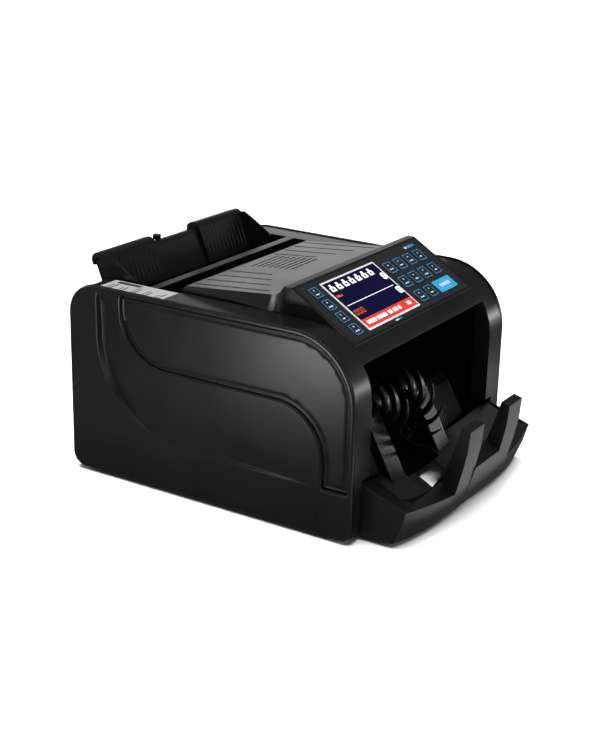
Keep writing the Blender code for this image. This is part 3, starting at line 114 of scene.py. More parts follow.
finishes = {
    # ABS, injection moulded in a spark-eroded tool: a soft broad sheen over a fine even grain
    "satin_black_abs": {"colours": ("#0f1011", "#131415"), "roughness": (0.27, 0.34), "grainMm": 1.1, "driftMm": 40,
                        "bump": 0.12, "reliefMm": 0.12, "specular": 0.5, "ior": 1.53},
    # ABS with a coarser leather-like grain, on the inlaid ribbons
    "fine_grain_abs": {"colours": ("#0f1011", "#131415"), "roughness": (0.29, 0.36), "grainMm": 0.9, "driftMm": 30,
                       "bump": 0.25, "reliefMm": 0.16, "specular": 0.5, "ior": 1.53},
    # polyester film, screen printed on its back, with a velvet face
    "printed_overlay": {"colours": ("#1d1f21", "#212325"), "roughness": (0.42, 0.5), "grainMm": 0.8, "driftMm": 20,
                        "bump": 0.08, "reliefMm": 0.06, "specular": 0.4, "ior": 1.6},
    "start_key_print": {"colours": ("#2fa6e2", "#38b2ec"), "roughness": (0.4, 0.48), "grainMm": 0.8, "driftMm": 12,
                        "bump": 0.08, "reliefMm": 0.06, "specular": 0.4, "ior": 1.6},
    "display_glass": {"colours": ("#e9edf0", "#f1f4f6"), "roughness": (0.16, 0.22), "grainMm": 2.0, "driftMm": 30,
                      "bump": 0.02, "reliefMm": 0.05, "specular": 0.5, "ior": 1.5},
    # acetal, moulded in a fine-ground tool: deep black with small soft highlights
    "gloss_black_pom": {"colours": ("#08090a", "#0c0d0e"), "roughness": (0.26, 0.36), "grainMm": 3.0, "driftMm": 12,
                        "bump": 0.05, "reliefMm": 0.1, "specular": 0.5, "ior": 1.48},
    # nitrile rubber, ground round: dull, with a cross grain from the wheel
    "roller_rubber": {"colours": ("#232323", "#2c2b2a"), "roughness": (0.7, 0.85), "grainMm": 0.7, "driftMm": 8,
                      "bump": 0.35, "reliefMm": 0.2, "stretch": (0.2, 1, 1), "specular": 0.35, "ior": 1.5},
    "foot_rubber": {"colours": ("#151515", "#1b1b1b"), "roughness": (0.75, 0.9), "grainMm": 0.9, "driftMm": 6,
                    "bump": 0.3, "reliefMm": 0.2, "specular": 0.3, "ior": 1.5},
    # carbon steel shaft, centreless ground: fine rings round the axis
    "bright_steel": {"colours": ("#a9abad", "#babcbe"), "roughness": (0.22, 0.34), "grainMm": 0.5, "driftMm": 10,
                     "bump": 0.15, "reliefMm": 0.05, "stretch": (3, 0.3, 0.3), "metallic": 1.0},
    # zinc-plated sheet, black passivated: dull dark metal with long rolling streaks
    "zinc_sheet": {"colours": ("#35383a", "#43464a"), "roughness": (0.42, 0.58), "grainMm": 1.6, "driftMm": 14,
                   "bump": 0.1, "reliefMm": 0.06, "stretch": (1, 0.12, 1), "metallic": 1.0},
    "white_nylon": {"colours": ("#dcd9cf", "#e4e1d8"), "roughness": (0.4, 0.52), "grainMm": 1.2, "driftMm": 10,
                    "bump": 0.15, "reliefMm": 0.1, "ior": 1.53},
    # neoprene belt: matt black with a faint cloth grain
    "drive_belt": {"colours": ("#191919", "#202020"), "roughness": (0.6, 0.75), "grainMm": 0.6, "driftMm": 7,
                   "bump": 0.3, "reliefMm": 0.15, "ior": 1.5},
    # glass-epoxy board under green solder mask
    "green_board": {"colours": ("#0d4a24", "#11572b"), "roughness": (0.28, 0.4), "grainMm": 1.5, "driftMm": 9,
                    "bump": 0.2, "reliefMm": 0.1, "ior": 1.55},
    # steel can, deep drawn and passivated
    "motor_can": {"colours": ("#5d6063", "#707376"), "roughness": (0.3, 0.42), "grainMm": 0.9, "driftMm": 12,
                  "bump": 0.12, "reliefMm": 0.06, "stretch": (0.2, 1, 1), "metallic": 1.0},
}
materials = {slot: grained(slot, looks) for slot, looks in finishes.items()}


def ink(name, hexText, glow=0.0):
    # screen-printing ink, or with glow a lit part of the display or a painted glow on the blue print: even colour with
    # a slight 3 mm mottle
    made, tree, shader, place = startMaterial(name, {
        "Roughness": 0.45, "IOR": 1.5, "Emission Strength": glow, "Specular IOR Level": 0.15 if glow else 0.4})
    mottle = addNode(tree, "ShaderNodeTexNoise", {"Scale": 1 / (3 * mm), "Detail": 2.0}, {"Vector": place})
    even = addNode(tree, "ShaderNodeRGB").outputs["Color"]
    even.default_value = linear(hexText)
    shade = addNode(tree, "ShaderNodeMix", {"data_type": "RGBA", "blend_type": "MULTIPLY", 0: 0.12},
                    {6: even, 7: mottle.outputs["Color"]}).outputs[2]  # 0 is the factor, 6 and 7 the two colours
    tree.links.new(shade, shader.inputs["Base Color"])
    if glow:
        tree.links.new(shade, shader.inputs["Emission Color"])
    return made


inks = {
    # the blue print glows a little: painted light, since it is ink and not a lamp
    "blue": ink("blue_ink_painted_glow", "#3a9ad8", 0.12), "white": ink("white_ink", "#e8ecee"),
    "label": ink("label_foil", "#c4c6c8"), "dark": ink("dark_ink", "#3a3d40"),
    "navy": ink("screen_navy", "#06072a", 0.5), "lit": ink("screen_white", "#f4f6ff", 0.6),
    "orange": ink("screen_orange", "#e0532f", 0.6), "red": ink("screen_red", "#c8382f", 0.55)}
print("finishes made:", len(materials) + len(inks))


# ---- mesh helpers, all in millimetres until they reach a mesh

def roundedLoop(corners, step=4.0):
    # each corner (u, v, radius) becomes an arc that is tangent to both its sides
    points = []
    for i, (u, v, radius) in enumerate(corners):
        here = np.array((u, v), float)
        if radius <= 0:
            points.append(here[None])
            continue
        before = np.array(corners[i - 1][:2]) - here
        after = np.array(corners[(i + 1) % len(corners)][:2]) - here
        before, after = before / np.linalg.norm(before), after / np.linalg.norm(after)
        half = math.acos(np.clip(before @ after, -1, 1)) / 2
        middle = here + (before + after) / np.linalg.norm(before + after) * radius / math.sin(half)
        start, end = here + before * radius / math.tan(half), here + after * radius / math.tan(half)
        first = math.atan2(*(start - middle)[::-1])
        turn = (math.atan2(*(end - middle)[::-1]) - first + math.pi) % (2 * math.pi) - math.pi
        angle = first + turn * np.linspace(0, 1, max(2, int(abs(math.degrees(turn)) / step) + 1))
        points.append(middle + radius * np.stack([np.cos(angle), np.sin(angle)], 1))
    return np.concatenate(points)


def dense(line, spacing, closed=True):
    # points put along each side so that none is longer than spacing
    ends = np.roll(line, -1, 0) if closed else line[1:]
    starts = line if closed else line[:-1]
    out = []
    for a, b in zip(starts, ends):
        count = max(1, int(math.ceil(np.linalg.norm(b - a) / spacing)))
        out.append(a + (b - a) * np.arange(count)[:, None] / count)
    if not closed:
        out.append(line[-1:])
    return np.concatenate(out)


def nearest(points, line, closed=True):
    # distance from each point to a line, and how far along the line the nearest place is
    a = line if closed else line[:-1]
    b = np.roll(line, -1, 0) if closed else line[1:]
    side = b - a
    length = np.linalg.norm(side, axis=1)
    along = np.concatenate([[0], np.cumsum(length)[:-1]])
    share = np.clip(((points[:, None] - a) * side).sum(-1) / (length ** 2), 0, 1)
    gap = np.linalg.norm(points[:, None] - a - share[..., None] * side, axis=-1)
    pick = gap.argmin(1)
    rows = np.arange(len(points))
    return gap[rows, pick], along[pick] + share[rows, pick] * length[pick]


def inside(points, loop):
    # even-odd rule: how many sides a ray along +u crosses
    a, b = loop, np.roll(loop, -1, 0)
    u, v = points[:, :1], points[:, 1:]
    over = (a[:, 1] > v) != (b[:, 1] > v)
    rise = np.where(b[:, 1] == a[:, 1], 1e-9, b[:, 1] - a[:, 1])
    cross = a[:, 0] + (v - a[:, 1]) / rise * (b[:, 0] - a[:, 0])
    return (over & (u < cross)).sum(1) % 2 == 1


def signed(points, loop):
    # distance to a closed loop, positive inside it
    return nearest(points, loop)[0] * np.where(inside(points, loop), 1.0, -1.0)


def toObject(name, points, faces, finishList, tones=None, smooth=True):
    # tones: which finish of the list each face takes
    mesh = bpy.data.meshes.new(name)
    mesh.from_pydata((np.asarray(points) * mm).tolist(), [], [tuple(f) for f in faces])
    for finish in finishList:
        mesh.materials.append(finish)
    if tones is not None:
        mesh.polygons.foreach_set("material_index", np.asarray(tones, np.int32))
    mesh.polygons.foreach_set("use_smooth", np.full(len(mesh.polygons), smooth))
    made = bpy.data.objects.new(name, mesh)
    bpy.context.scene.collection.objects.link(made)
    return made


def standFor(made, *nodes):
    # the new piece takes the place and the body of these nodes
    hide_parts(*nodes)
    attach(made, nodeBody[nodes[0]])
    return made


rounding = {"angle": 30.0, "segments": 2, "merge": 0.003, "flat": 0.5}  # degrees, and the gap that is merged


def roundedCopy(node, width, join=True, chosen=None):
    # a merged copy of a node with its flat faces joined and its sharp edges rounded
    r = rounding
    bm = bmesh.new()
    bm.from_mesh(frame["nodes"][node].data)
    bmesh.ops.remove_doubles(bm, verts=bm.verts, dist=r["merge"] * mm)
    if join:
        bmesh.ops.dissolve_limit(bm, angle_limit=math.radians(r["flat"]), verts=bm.verts, edges=bm.edges)
    for face in bm.faces:
        face.smooth = True
    if chosen:  # only these sharp edges are rounded, and the others stay crisp
        weights = bm.edges.layers.float.new("bevel_weight_edge")
        for edge in bm.edges:
            if edge.calc_face_angle(0.0) > math.radians(r["angle"]):
                middle = (edge.verts[0].co + edge.verts[1].co) / 2 / mm
                edge[weights] = 1.0 if chosen(*middle) else 0.0
                edge.smooth = bool(chosen(*middle))
    mesh = bpy.data.meshes.new(node + "_shape")
    bm.to_mesh(mesh)
    bm.free()
    mesh.materials.append(materials[nodeSlot[node]])
    made = bpy.data.objects.new(node + "_shape", mesh)
    bpy.context.scene.collection.objects.link(made)
    bevel = made.modifiers.new("edges", "BEVEL")
    bevel.width = width * mm
    bevel.segments = r["segments"]
    bevel.limit_method = "WEIGHT" if chosen else "ANGLE"
    bevel.angle_limit = math.radians(r["angle"])
    bevel.harden_normals = True
    bevel.miter_outer = "MITER_ARC"
    weigh = made.modifiers.new("even", "WEIGHTED_NORMAL")  # wide flat faces stay flat to the eye
    weigh.keep_sharp = True
    return standFor(made, node)


sheet = {"grid": 3.0, "rim": 1.6, "clear": 0.6, "probe": 0.06}  # spacing inside and along edges; share; step


def reliefSheet(outline, holes, guides, depth, toPlace):
    # A sheet over a flat outline, cut by holes, whose every point is sunk by depth(points). Guide lines put
    # vertices where the relief turns. The triangles are Delaunay's, because no grid follows all these edges.
    spacing = sheet["grid"]
    loops = [(dense(loop, sheet["rim"]), True) for loop in [outline] + holes] + guides
    points, edges = [], []
    for line, closed in loops:
        first = sum(len(p) for p in points)
        points.append(line)
        count = len(line)
        edges += [(first + i, first + (i + 1) % count) for i in range(count if closed else count - 1)]
    fixed = np.concatenate(points)
    low, high = outline.min(0), outline.max(0)
    grid = np.stack(np.meshgrid(np.arange(low[0], high[0], spacing), np.arange(low[1], high[1], spacing)), -1)
    grid = grid.reshape(-1, 2)
    clear = np.concatenate([np.linalg.norm(part[:, None] - fixed[None], axis=-1).min(1) > sheet["clear"] * spacing
                            for part in np.array_split(grid, 12)])  # in parts, to keep the arrays small
    grid = grid[clear & inside(grid, outline)]
    every = np.concatenate([fixed, grid])
    found = delaunay_2d_cdt([tuple(p) for p in every], edges, [], 0, 1e-5)
    flat = np.array([tuple(p) for p in found[0]])
    faces = np.array([tuple(f) for f in found[2]])
    centre = flat[faces].mean(1)
    keep = inside(centre, outline)
    for hole in holes:
        keep &= ~inside(centre, hole)
    faces = faces[keep]
    solid = toPlace(flat, depth(flat))
    normal = np.cross(solid[faces[:, 1]] - solid[faces[:, 0]], solid[faces[:, 2]] - solid[faces[:, 0]])
    step = sheet["probe"]  # the relief's slopes, by central difference, turn the normals
    slopes = [(depth(flat + arm) - depth(flat - arm)) / (2 * step) for arm in np.array([[step, 0], [0, step]])]
    return solid, faces, normal.sum(0), np.stack(slopes, 1)


# ---- side covers and their ribbon inlays

# y runs to the rear and z up; edge, padEdge and every "Radius" are radii, and "Top", "Front" and so on are places
cover = {"half": 121.0, "rear": 155.0, "front": -101.2, "top": 154.5, "bottom": 2.6, "rearTop": 25.0,
         "rearBottom": 12.0, "frontTop": 52.0, "frontBottom": 8.0, "edge": 1.5, "skin": 3.6, "margin": 4.3,
         "padEdge": 1.8, "padRear": 102.0, "padFront": -73.0, "padTop": 96.5, "padRadius": 38.0, "padGap": 2.6,
         "foot": 39.0, "quarterTurns": (22, 42, 60, 76, 90)}
# the scoop: how deep and how wide it is at shares of its length, and the guide lines beside its sharp edge
scoop = {"y": 128.5, "z": 40.0, "radius": 78.0, "depth": 4.6, "width": 25.0, "rise": 3.2, "below": 2.5,
         "fadeTop": 6.0, "end": ((-40.0, 38.9), (-71.0, 38.0)), "guides": (0.0, 0.8, 1.6, 2.4, 3.4, 5.0),
         "deepAt": ((0, 0.1, 0.3, 0.45, 0.6, 0.85, 1.0), (0.75, 1, 0.85, 0.5, 0.26, 0.14, 0)),
         "wideAt": ((0, 0.3, 0.5, 1.0), (0.95, 1.0, 1.3, 0.8))}
ribbon = {"seam": 0.35, "sunk": 1.7, "bend": 2.0, "bendFrom": 10.0, "bendOver": 107.0, "edge": 0.6, "corner": 1.2,
          "grooveIn": 2.3, "grooveWidth": 0.7, "grooveDepth": 0.45, "wall": 4.6}


def coverLoop(inset):
    c = cover
    return roundedLoop([
        (c["rear"] - inset, c["bottom"] + inset, max(c["rearBottom"] - inset, 0.5)),
        (c["rear"] - inset, c["top"] - inset, c["rearTop"] - inset),
        (c["front"] + inset, c["top"] - inset, c["frontTop"] - inset),
        (c["front"] + inset, c["bottom"] + inset, max(c["frontBottom"] - inset, 0.5))])


def ribbonLoop(seam):
    # the hook between the rim and the pad, smaller by seam all round
    c = cover
    margin = c["margin"] + seam
    rear, front = c["padRear"] + c["padGap"] - seam, c["padFront"] - c["padGap"] - seam
    top, radius = c["padTop"] + c["padGap"] + seam, c["padRadius"] + c["padGap"] + seam
    ceiling, nose, foot, corner = c["top"] - margin, c["front"] + margin, c["foot"] + seam, ribbon["corner"]
    return roundedLoop([(rear, ceiling, 2.0), (nose, ceiling, c["frontTop"] - margin), (nose, foot, corner),
                        (front, foot, corner), (front, top, radius), (rear, top, radius)])


def creaseLine(reach):
    # the scoop's outer edge, moved reach towards the pad: straight down, round an arc, then forwards
    angle = np.radians(np.linspace(0, -90, 40))
    middle = np.array((scoop["y"] - scoop["radius"], scoop["z"] + scoop["radius"]))
    arc = middle + (scoop["radius"] - reach) * np.stack([np.cos(angle), np.sin(angle)], 1)
    start = [[scoop["y"] - reach, cover["top"] - cover["margin"] - 1.0]]
    (y0, z0), (y1, z1) = scoop["end"]
    return dense(np.concatenate([start, arc, [[y0, z0 + reach], [y1, z1 + reach * 0.3]]]), 2.0, closed=False)


crease = creaseLine(0.0)
creaseLength = np.linalg.norm(np.diff(crease, axis=0), axis=1).sum()


def quarter(distance, radius):
    # how far a quarter-round of this radius has fallen at a distance from its edge
    short = np.clip(radius - distance, 0, radius)
    return radius - np.sqrt(radius ** 2 - short ** 2)


def smooth(share):
    # 0 to 1 with level ends: 3 s² − 2 s³
    share = np.clip(share, 0, 1)
    return share * share * (3 - 2 * share)


def coverDepth(points):
    # quarter-rounds at the outline and round the ribbon's recess, plus the scoop behind the pad
    y, z = points[:, 0], points[:, 1]
    sunk = quarter(signed(points, coverLoop(0.0)), cover["edge"])
    sunk = sunk + quarter(-signed(points, ribbonLoop(0.0)), cover["padEdge"])
    gap, along = nearest(points, crease, closed=False)
    middleY, middleZ = scoop["y"] - scoop["radius"], scoop["z"] + scoop["radius"]
    within = (y < scoop["y"]) & (z > scoop["z"] - scoop["below"])
    within &= ~((y > middleY) & (z < middleZ) & (np.hypot(y - middleY, z - middleZ) > scoop["radius"]))
    within &= ~((y <= middleY) & (z < np.interp(y, crease[::-1, 0], crease[::-1, 1])))
    share = along / creaseLength
    deep = scoop["depth"] * np.interp(share, *scoop["deepAt"])
    wide = scoop["width"] * np.interp(share, *scoop["wideAt"])
    upper = np.clip((cover["top"] - cover["margin"] - z) / scoop["fadeTop"], 0, 1)
    return sunk + np.where(within, deep * smooth(gap / scoop["rise"]) * smooth(1 - gap / wide) * upper, 0)


def ribbonDepth(points):
    # sunk below the pad, bent in towards the nose, with a rounded border and a fine groove inside it
    r = ribbon
    border = signed(points, ribbonLoop(r["seam"]))
    groove = np.clip(1 - np.abs(border - r["grooveIn"]) / r["grooveWidth"], 0, 1)
    forward = np.clip((r["bendFrom"] - points[:, 0]) / r["bendOver"], 0, 1)
    return r["sunk"] + quarter(border, r["edge"]) + r["grooveDepth"] * groove + r["bend"] * forward ** 2


def wallDown(solid, faces, side, depth):
    # a wall from each open edge straight in to depth, so that the sheet reads as a moulding
    directed = np.concatenate([faces[:, [0, 1]], faces[:, [1, 2]], faces[:, [2, 0]]])
    _, first, count = np.unique(np.sort(directed, axis=1), axis=0, return_index=True, return_counts=True)
    rim = directed[first[count == 1]]
    used = np.unique(rim)
    new = np.full(len(solid), -1)
    new[used] = len(solid) + np.arange(len(used))
    lowered = solid[used].copy()
    lowered[:, 0] = side * depth
    quads = [(b, a, new[a], new[b]) for a, b in rim]
    return np.concatenate([solid, lowered]), [tuple(f) for f in faces] + quads


def turnNormals(made, side, slopes):
    # normals from the relief's own slopes; the wall below the edge keeps its own
    normals = np.zeros((len(made.data.vertices), 3))
    normals[:len(slopes), 0] = side
    normals[:len(slopes), 1:] = slopes
    normals[len(slopes):] = np.array([v.normal[:] for v in made.data.vertices[len(slopes):]]).reshape(-1, 3)
    normals /= np.linalg.norm(normals, axis=1)[:, None]
    made.data.normals_split_custom_set_from_vertices(normals.tolist())


def makeSide(name, node, side, outline, holes, guides, depth, wall):
    # one side moulding: its relief sheet, facing outwards, with a wall in to depth wall
    solid, faces, facing, slopes = reliefSheet(
        outline, holes, guides, depth, lambda flat, sunk: np.column_stack([side * (cover["half"] - sunk), flat]))
    faces = faces if facing[0] * side > 0 else faces[:, ::-1]
    solid, faces = wallDown(solid, faces, side, cover["half"] - wall)
    made = toObject(name, solid, faces, [materials[nodeSlot[node]]])
    turnNormals(made, side, slopes)
    standFor(made, node)


falls = [1 - math.cos(math.radians(turn)) for turn in cover["quarterTurns"]]
coverGuides = [(dense(coverLoop(cover["edge"] * fall), sheet["rim"]), True) for fall in falls]
coverGuides += [(dense(ribbonLoop(-cover["padEdge"] * fall), sheet["rim"]), True) for fall in falls]
coverGuides += [(creaseLine(reach), False) for reach in scoop["guides"]]
groove = ribbon["grooveIn"] + ribbon["grooveWidth"] * np.array((-1, 0, 1))
ribbonGuides = [(dense(ribbonLoop(ribbon["seam"] + inset), sheet["rim"]), True) for inset in (0.2, 0.6, *groove)]
for side, word in ((-1, "left"), (1, "right")):
    makeSide(word + "_cover", word + "_side_cover", side, coverLoop(0.0), [ribbonLoop(0.0)], coverGuides, coverDepth,
             cover["skin"])
    makeSide(word + "_ribbon", word + "_ribbon_panel", side, ribbonLoop(ribbon["seam"]), [], ribbonGuides,
             ribbonDepth, ribbon["wall"])
print("side covers made")


# ---- printed panel: display, overlay and keys

panel = {"top": (-29.7, 174.1), "slope": 31.4, "ink": 0.05}  # upper edge (y, z), degrees, thickness of the ink
display = {"left": -63.4, "top": 6.0, "width": 78.0, "height": 51.6, "proud": 0.2, "frame": 1.7, "deep": 4.6,
           "over": 0.03}
# sizes of the caps, the printed line set in from their edge, and the rows: first place and pitch down the slope
keys = {"size": 12.2, "leftSize": 11.0, "corner": 1.2, "rise": 0.4, "deep": 3.0, "edge": 0.25, "line": 0.5,
        "lineInset": 0.6, "lineCorner": 0.9, "leftRows": (11.8, 13.3), "rightRows": (17.3, 16.5),
        "start": (66.0, 50.3, 27.5)}


def onPanel(x, t, up):
    # x across, t down the slope from the panel's upper edge, up along its normal
    a = math.radians(panel["slope"])
    x, t, up = np.broadcast_arrays(np.asarray(x, float), t, up)
    return np.stack([x, panel["top"][0] - t * math.cos(a) - up * math.sin(a),
                     panel["top"][1] - t * math.sin(a) + up * math.cos(a)], -1)


def patches(shapes, toPlace):
    # flat shapes (outline, height, tone) laid on a surface: each outline is fanned from its middle
    points, faces, tones = [], [], []
    for outline, up, tone in shapes:
        first = len(points)
        outline = np.asarray(outline, float)
        middle = outline.mean(0)
        ring = np.vstack([middle, outline])
        points += toPlace(ring[:, 0], ring[:, 1], up).tolist()
        count = len(outline)
        faces += [(first, first + 1 + (i + 1) % count, first + 1 + i) for i in range(count)]
        tones += [tone] * count
    return points, faces, tones


def bar(x, t, width, height, up, tone):
    return ([(x, t), (x + width, t), (x + width, t + height), (x, t + height)], up, tone)


def slab(outline, low, high, toPlace, edge, tone=0):
    # a plate with a quarter-round upper edge: rings of the outline, drawn in as they rise, and a fanned top
    outline = np.asarray(outline, float)
    middle = outline.mean(0)
    rings = [toPlace(outline[:, 0], outline[:, 1], low)]
    for turn in np.radians([0, 30, 60, 90]):
        inward = edge * (1 - math.cos(turn))
        arm = outline - middle
        size = np.abs(arm).max(0)
        ring = middle + arm * (size - inward) / size
        rings.append(toPlace(ring[:, 0], ring[:, 1], high - edge + edge * math.sin(turn)))
    rings.append(toPlace(np.full(len(outline), middle[0]), np.full(len(outline), middle[1]), high))
    grid = np.stack(rings)
    count = grid.shape[1]
    i = np.arange(grid.shape[0] - 1)[:, None] * count
    j = np.arange(count)
    after = (j + 1) % count
    faces = np.stack([i + j, i + count + j, i + count + after, i + after], -1).reshape(-1, 4)
    return grid.reshape(-1, 3).tolist(), faces.tolist(), [tone] * len(faces)


def together(parts):
    points, faces, tones = [], [], []
    for some, sides, marks in parts:
        first = len(points)
        points += list(some)
        faces += [tuple(first + i for i in face) for face in sides]
        tones += list(marks)
    return points, faces, tones


def clean(made):
    # doubles merged and faces turned outwards
    bm = bmesh.new()
    bm.from_mesh(made.data)
    bmesh.ops.remove_doubles(bm, verts=bm.verts, dist=2e-6)
    bmesh.ops.dissolve_degenerate(bm, edges=bm.edges, dist=1e-6)
    bmesh.ops.recalc_face_normals(bm, faces=bm.faces)
    bm.to_mesh(made.data)
    bm.free()
    return made


def outlineOf(x, t, width, height, corner):
    return roundedLoop([(x + width / 2, t + height / 2, corner), (x - width / 2, t + height / 2, corner),
                        (x - width / 2, t - height / 2, corner), (x + width / 2, t - height / 2, corner)], 15)


def printedFrame(x, t, width, height, corner, line, up, tone):
    # a thin printed line round a key, as a ring of quads between two outlines
    outer = outlineOf(x, t, width, height, corner)
    inner = outlineOf(x, t, width - 2 * line, height - 2 * line, max(corner - line, 0.2))
    points = np.concatenate([onPanel(outer[:, 0], outer[:, 1], up), onPanel(inner[:, 0], inner[:, 1], up)])
    count = len(outer)
    faces = [(i, count + i, count + (i + 1) % count, (i + 1) % count) for i in range(count)]
    return points.tolist(), faces, [tone] * count


def makeKey(name, x, t, width, height, legend, base):
    # a cap with a printed blue line with a slight painted glow, except on the start key, and white strokes (across,
    # down, width, height)
    k = keys
    up = k["rise"] + panel["ink"]
    parts = [slab(outlineOf(x, t, width, height, k["corner"]), -k["deep"], k["rise"], onPanel, k["edge"])]
    if base != "start_key_print":
        inset = 2 * k["lineInset"]
        parts.append(printedFrame(x, t, width - inset, height - inset, k["lineCorner"], k["line"], up, 1))
    parts.append(patches([bar(x + u, t + v, w, h, up, 2) for u, v, w, h in legend], onPanel))
    points, faces, tones = together(parts)
    standFor(toObject(name + "_cap", points, faces, [materials[base], inks["blue"], inks["white"]], tones,
                      smooth=False), name)


legends = [[(-0.5, -3.0, 1.2, 1.4), (-2.6, 1.3, 2.2, 1.2), (0.2, 1.3, 2.4, 1.2)],
           [(-0.5, -3.0, 1.0, 1.4), (-2.2, 1.3, 4.4, 1.1)],
           [(-0.8, -3.0, 1.6, 1.2), (-2.8, 1.3, 1.6, 1.2), (-0.8, 1.3, 3.4, 1.2)],
           [(-0.5, -2.8, 1.1, 1.2), (-1.6, 1.3, 3.2, 1.1)]]
startWord = [(-7.6, -1.6, 2.4, 3.2), (-4.4, -1.6, 2.6, 3.2), (-1.0, -1.6, 2.4, 3.2), (2.2, -1.6, 2.4, 3.2),
             (5.4, -1.6, 2.2, 3.2)]
number = 0
for name in sorted(nodeBody):
    if not name.startswith("key_") or name == "key_board":
        continue
    low, high = (np.array(corner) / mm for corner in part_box(name))
    x = (low[0] + high[0]) / 2
    if name == "key_start":
        x, t, width = keys["start"]
        makeKey(name, x, t, width, keys["size"], startWord, "start_key_print")
    elif "left" in name:
        row, (first, pitch) = int(name[-1]) - 1, keys["leftRows"]
        makeKey(name, x, first + pitch * row, keys["leftSize"], keys["leftSize"], legends[(row + 1) % 4],
                "printed_overlay")
    else:
        row, (first, pitch) = int(name.split("_")[2]) - 1, keys["rightRows"]
        makeKey(name, x, first + pitch * row, keys["size"], keys["size"], legends[number % 4], "printed_overlay")
        number += 1


def makeDisplay():
    # tones: 0 frame, 1 navy screen, 2 white, 3 orange, 4 red, 5 dark; all places count from the screen's corner
    d = display
    x0, t0, w, h = d["left"], d["top"], d["width"], d["height"]
    up = d["proud"] + panel["ink"]
    ink = up + panel["ink"]
    over = ink + d["over"]
    f = d["frame"]
    sx, st, sw, sh = x0 + f, t0 + f, w - 2 * f, h - 2 * f
    shapes = [bar(sx, st, sw, sh, up, 1)]
    for k in range(7):  # a row of note pictograms: a head, a body and a window each
        u = sx + 3.2 + k * 9.2
        shapes += [bar(u + 1.6, st + 2.4, 2.8, 2.6, ink, 2), bar(u, st + 5.0, 6.2, 4.4, ink, 2),
                   bar(u + 2.0, st + 6.2, 2.2, 1.6, over, 1)]
    shapes += [bar(sx + 2.0, st + 13.0, 4.0, 2.2, ink, 3), bar(sx + 6.6, st + 13.8, 2.4, 1.4, ink, 3),
               bar(sx + 2.0, st + 24.2, sw - 6.0, 0.55, ink, 2)]
    for k in range(3):  # three noughts, each of four strokes
        u, v = sx + 2.4 + 4.6 * k, st + 30.0
        shapes += [bar(u, v, 3.2, 0.6, ink, 3), bar(u, v + 4.4, 3.2, 0.6, ink, 3),
                   bar(u, v + 0.6, 0.6, 3.8, ink, 3), bar(u + 2.6, v + 0.6, 0.6, 3.8, ink, 3)]
    for t in (10.5, 26.8):  # white tags at the screen's right edge
        tag = outlineOf(sx + sw - 3.0, st + t + 3.4, 5.6, 6.8, 1.6)
        shapes += [(tag[::-1], ink, 2), bar(sx + sw - 4.8, st + t + 1.8, 3.4, 0.8, over, 5),
                   bar(sx + sw - 4.8, st + t + 4.0, 2.4, 0.8, over, 5)]
    shapes.append(bar(sx, st + sh - 8.6, sw, 8.6, ink, 4))  # the red foot bar and the white blocks on it
    for u, wide in ((4.0, 2.6), (7.2, 9.0), (18.0, 2.2), (21.0, 11.0), (35.0, 5.0), (42.4, 6.0), (50.4, 3.0),
                    (64.0, 5.0)):
        shapes.append(bar(sx + u, st + sh - 6.2, wide, 3.4, over, 2))
    body = slab(outlineOf(x0 + w / 2, t0 + h / 2, w, h, 1.0), -d["deep"], d["proud"], onPanel, 0.3)
    points, faces, tones = together([body, patches(shapes, onPanel)])
    standFor(toObject("display_face", points, faces, [
        materials["display_glass"], inks["navy"], inks["lit"], inks["orange"], inks["red"], inks["dark"]], tones,
        smooth=False), "display_module")


makeDisplay()
# small marks at the panel's upper right corner and below the display (across, down, width, height, tone)
marks = [bar(u, t, wide, high, panel["ink"], tone) for u, t, wide, high, tone in (
    (66.0, 5.4, 3.4, 2.0, 1), (70.6, 5.2, 6.4, 2.4, 0), (77.6, 5.6, 3.6, 1.6, 0), (-28.0, 59.2, 5.4, 1.2, 1),
    (-21.6, 59.2, 2.6, 1.2, 0))]
points, faces, tones = patches(marks, onPanel)
printed = toObject("overlay_marks", points, faces, [inks["blue"], inks["white"]], tones, smooth=False)
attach(printed, nodeBody["panel_overlay"])
print("panel made")


# ---- stacker wheels

wheel = {"x": 21.0, "y": -61.3, "z": 53.3, "hub": 11.0, "radius": 39.0, "bore": 3.3, "half": 4.0, "chamfer": 0.5,
         "blades": 13, "sweep": 58.0, "root": 6.0, "tip": 0.4, "taper": 0.6, "sunk": 1.0, "sharp": 40.0}


def tube(grid, closed):
    # quads between the rings of a grid of points; closed joins the last ring to the first
    rows, count = grid.shape[:2]
    i = np.arange(rows if closed else rows - 1)[:, None]
    j = np.arange(count)
    after, below = (j + 1) % count, (i + 1) % rows
    return np.stack([i * count + j, i * count + after, below * count + after, below * count + j], -1).reshape(-1, 4)


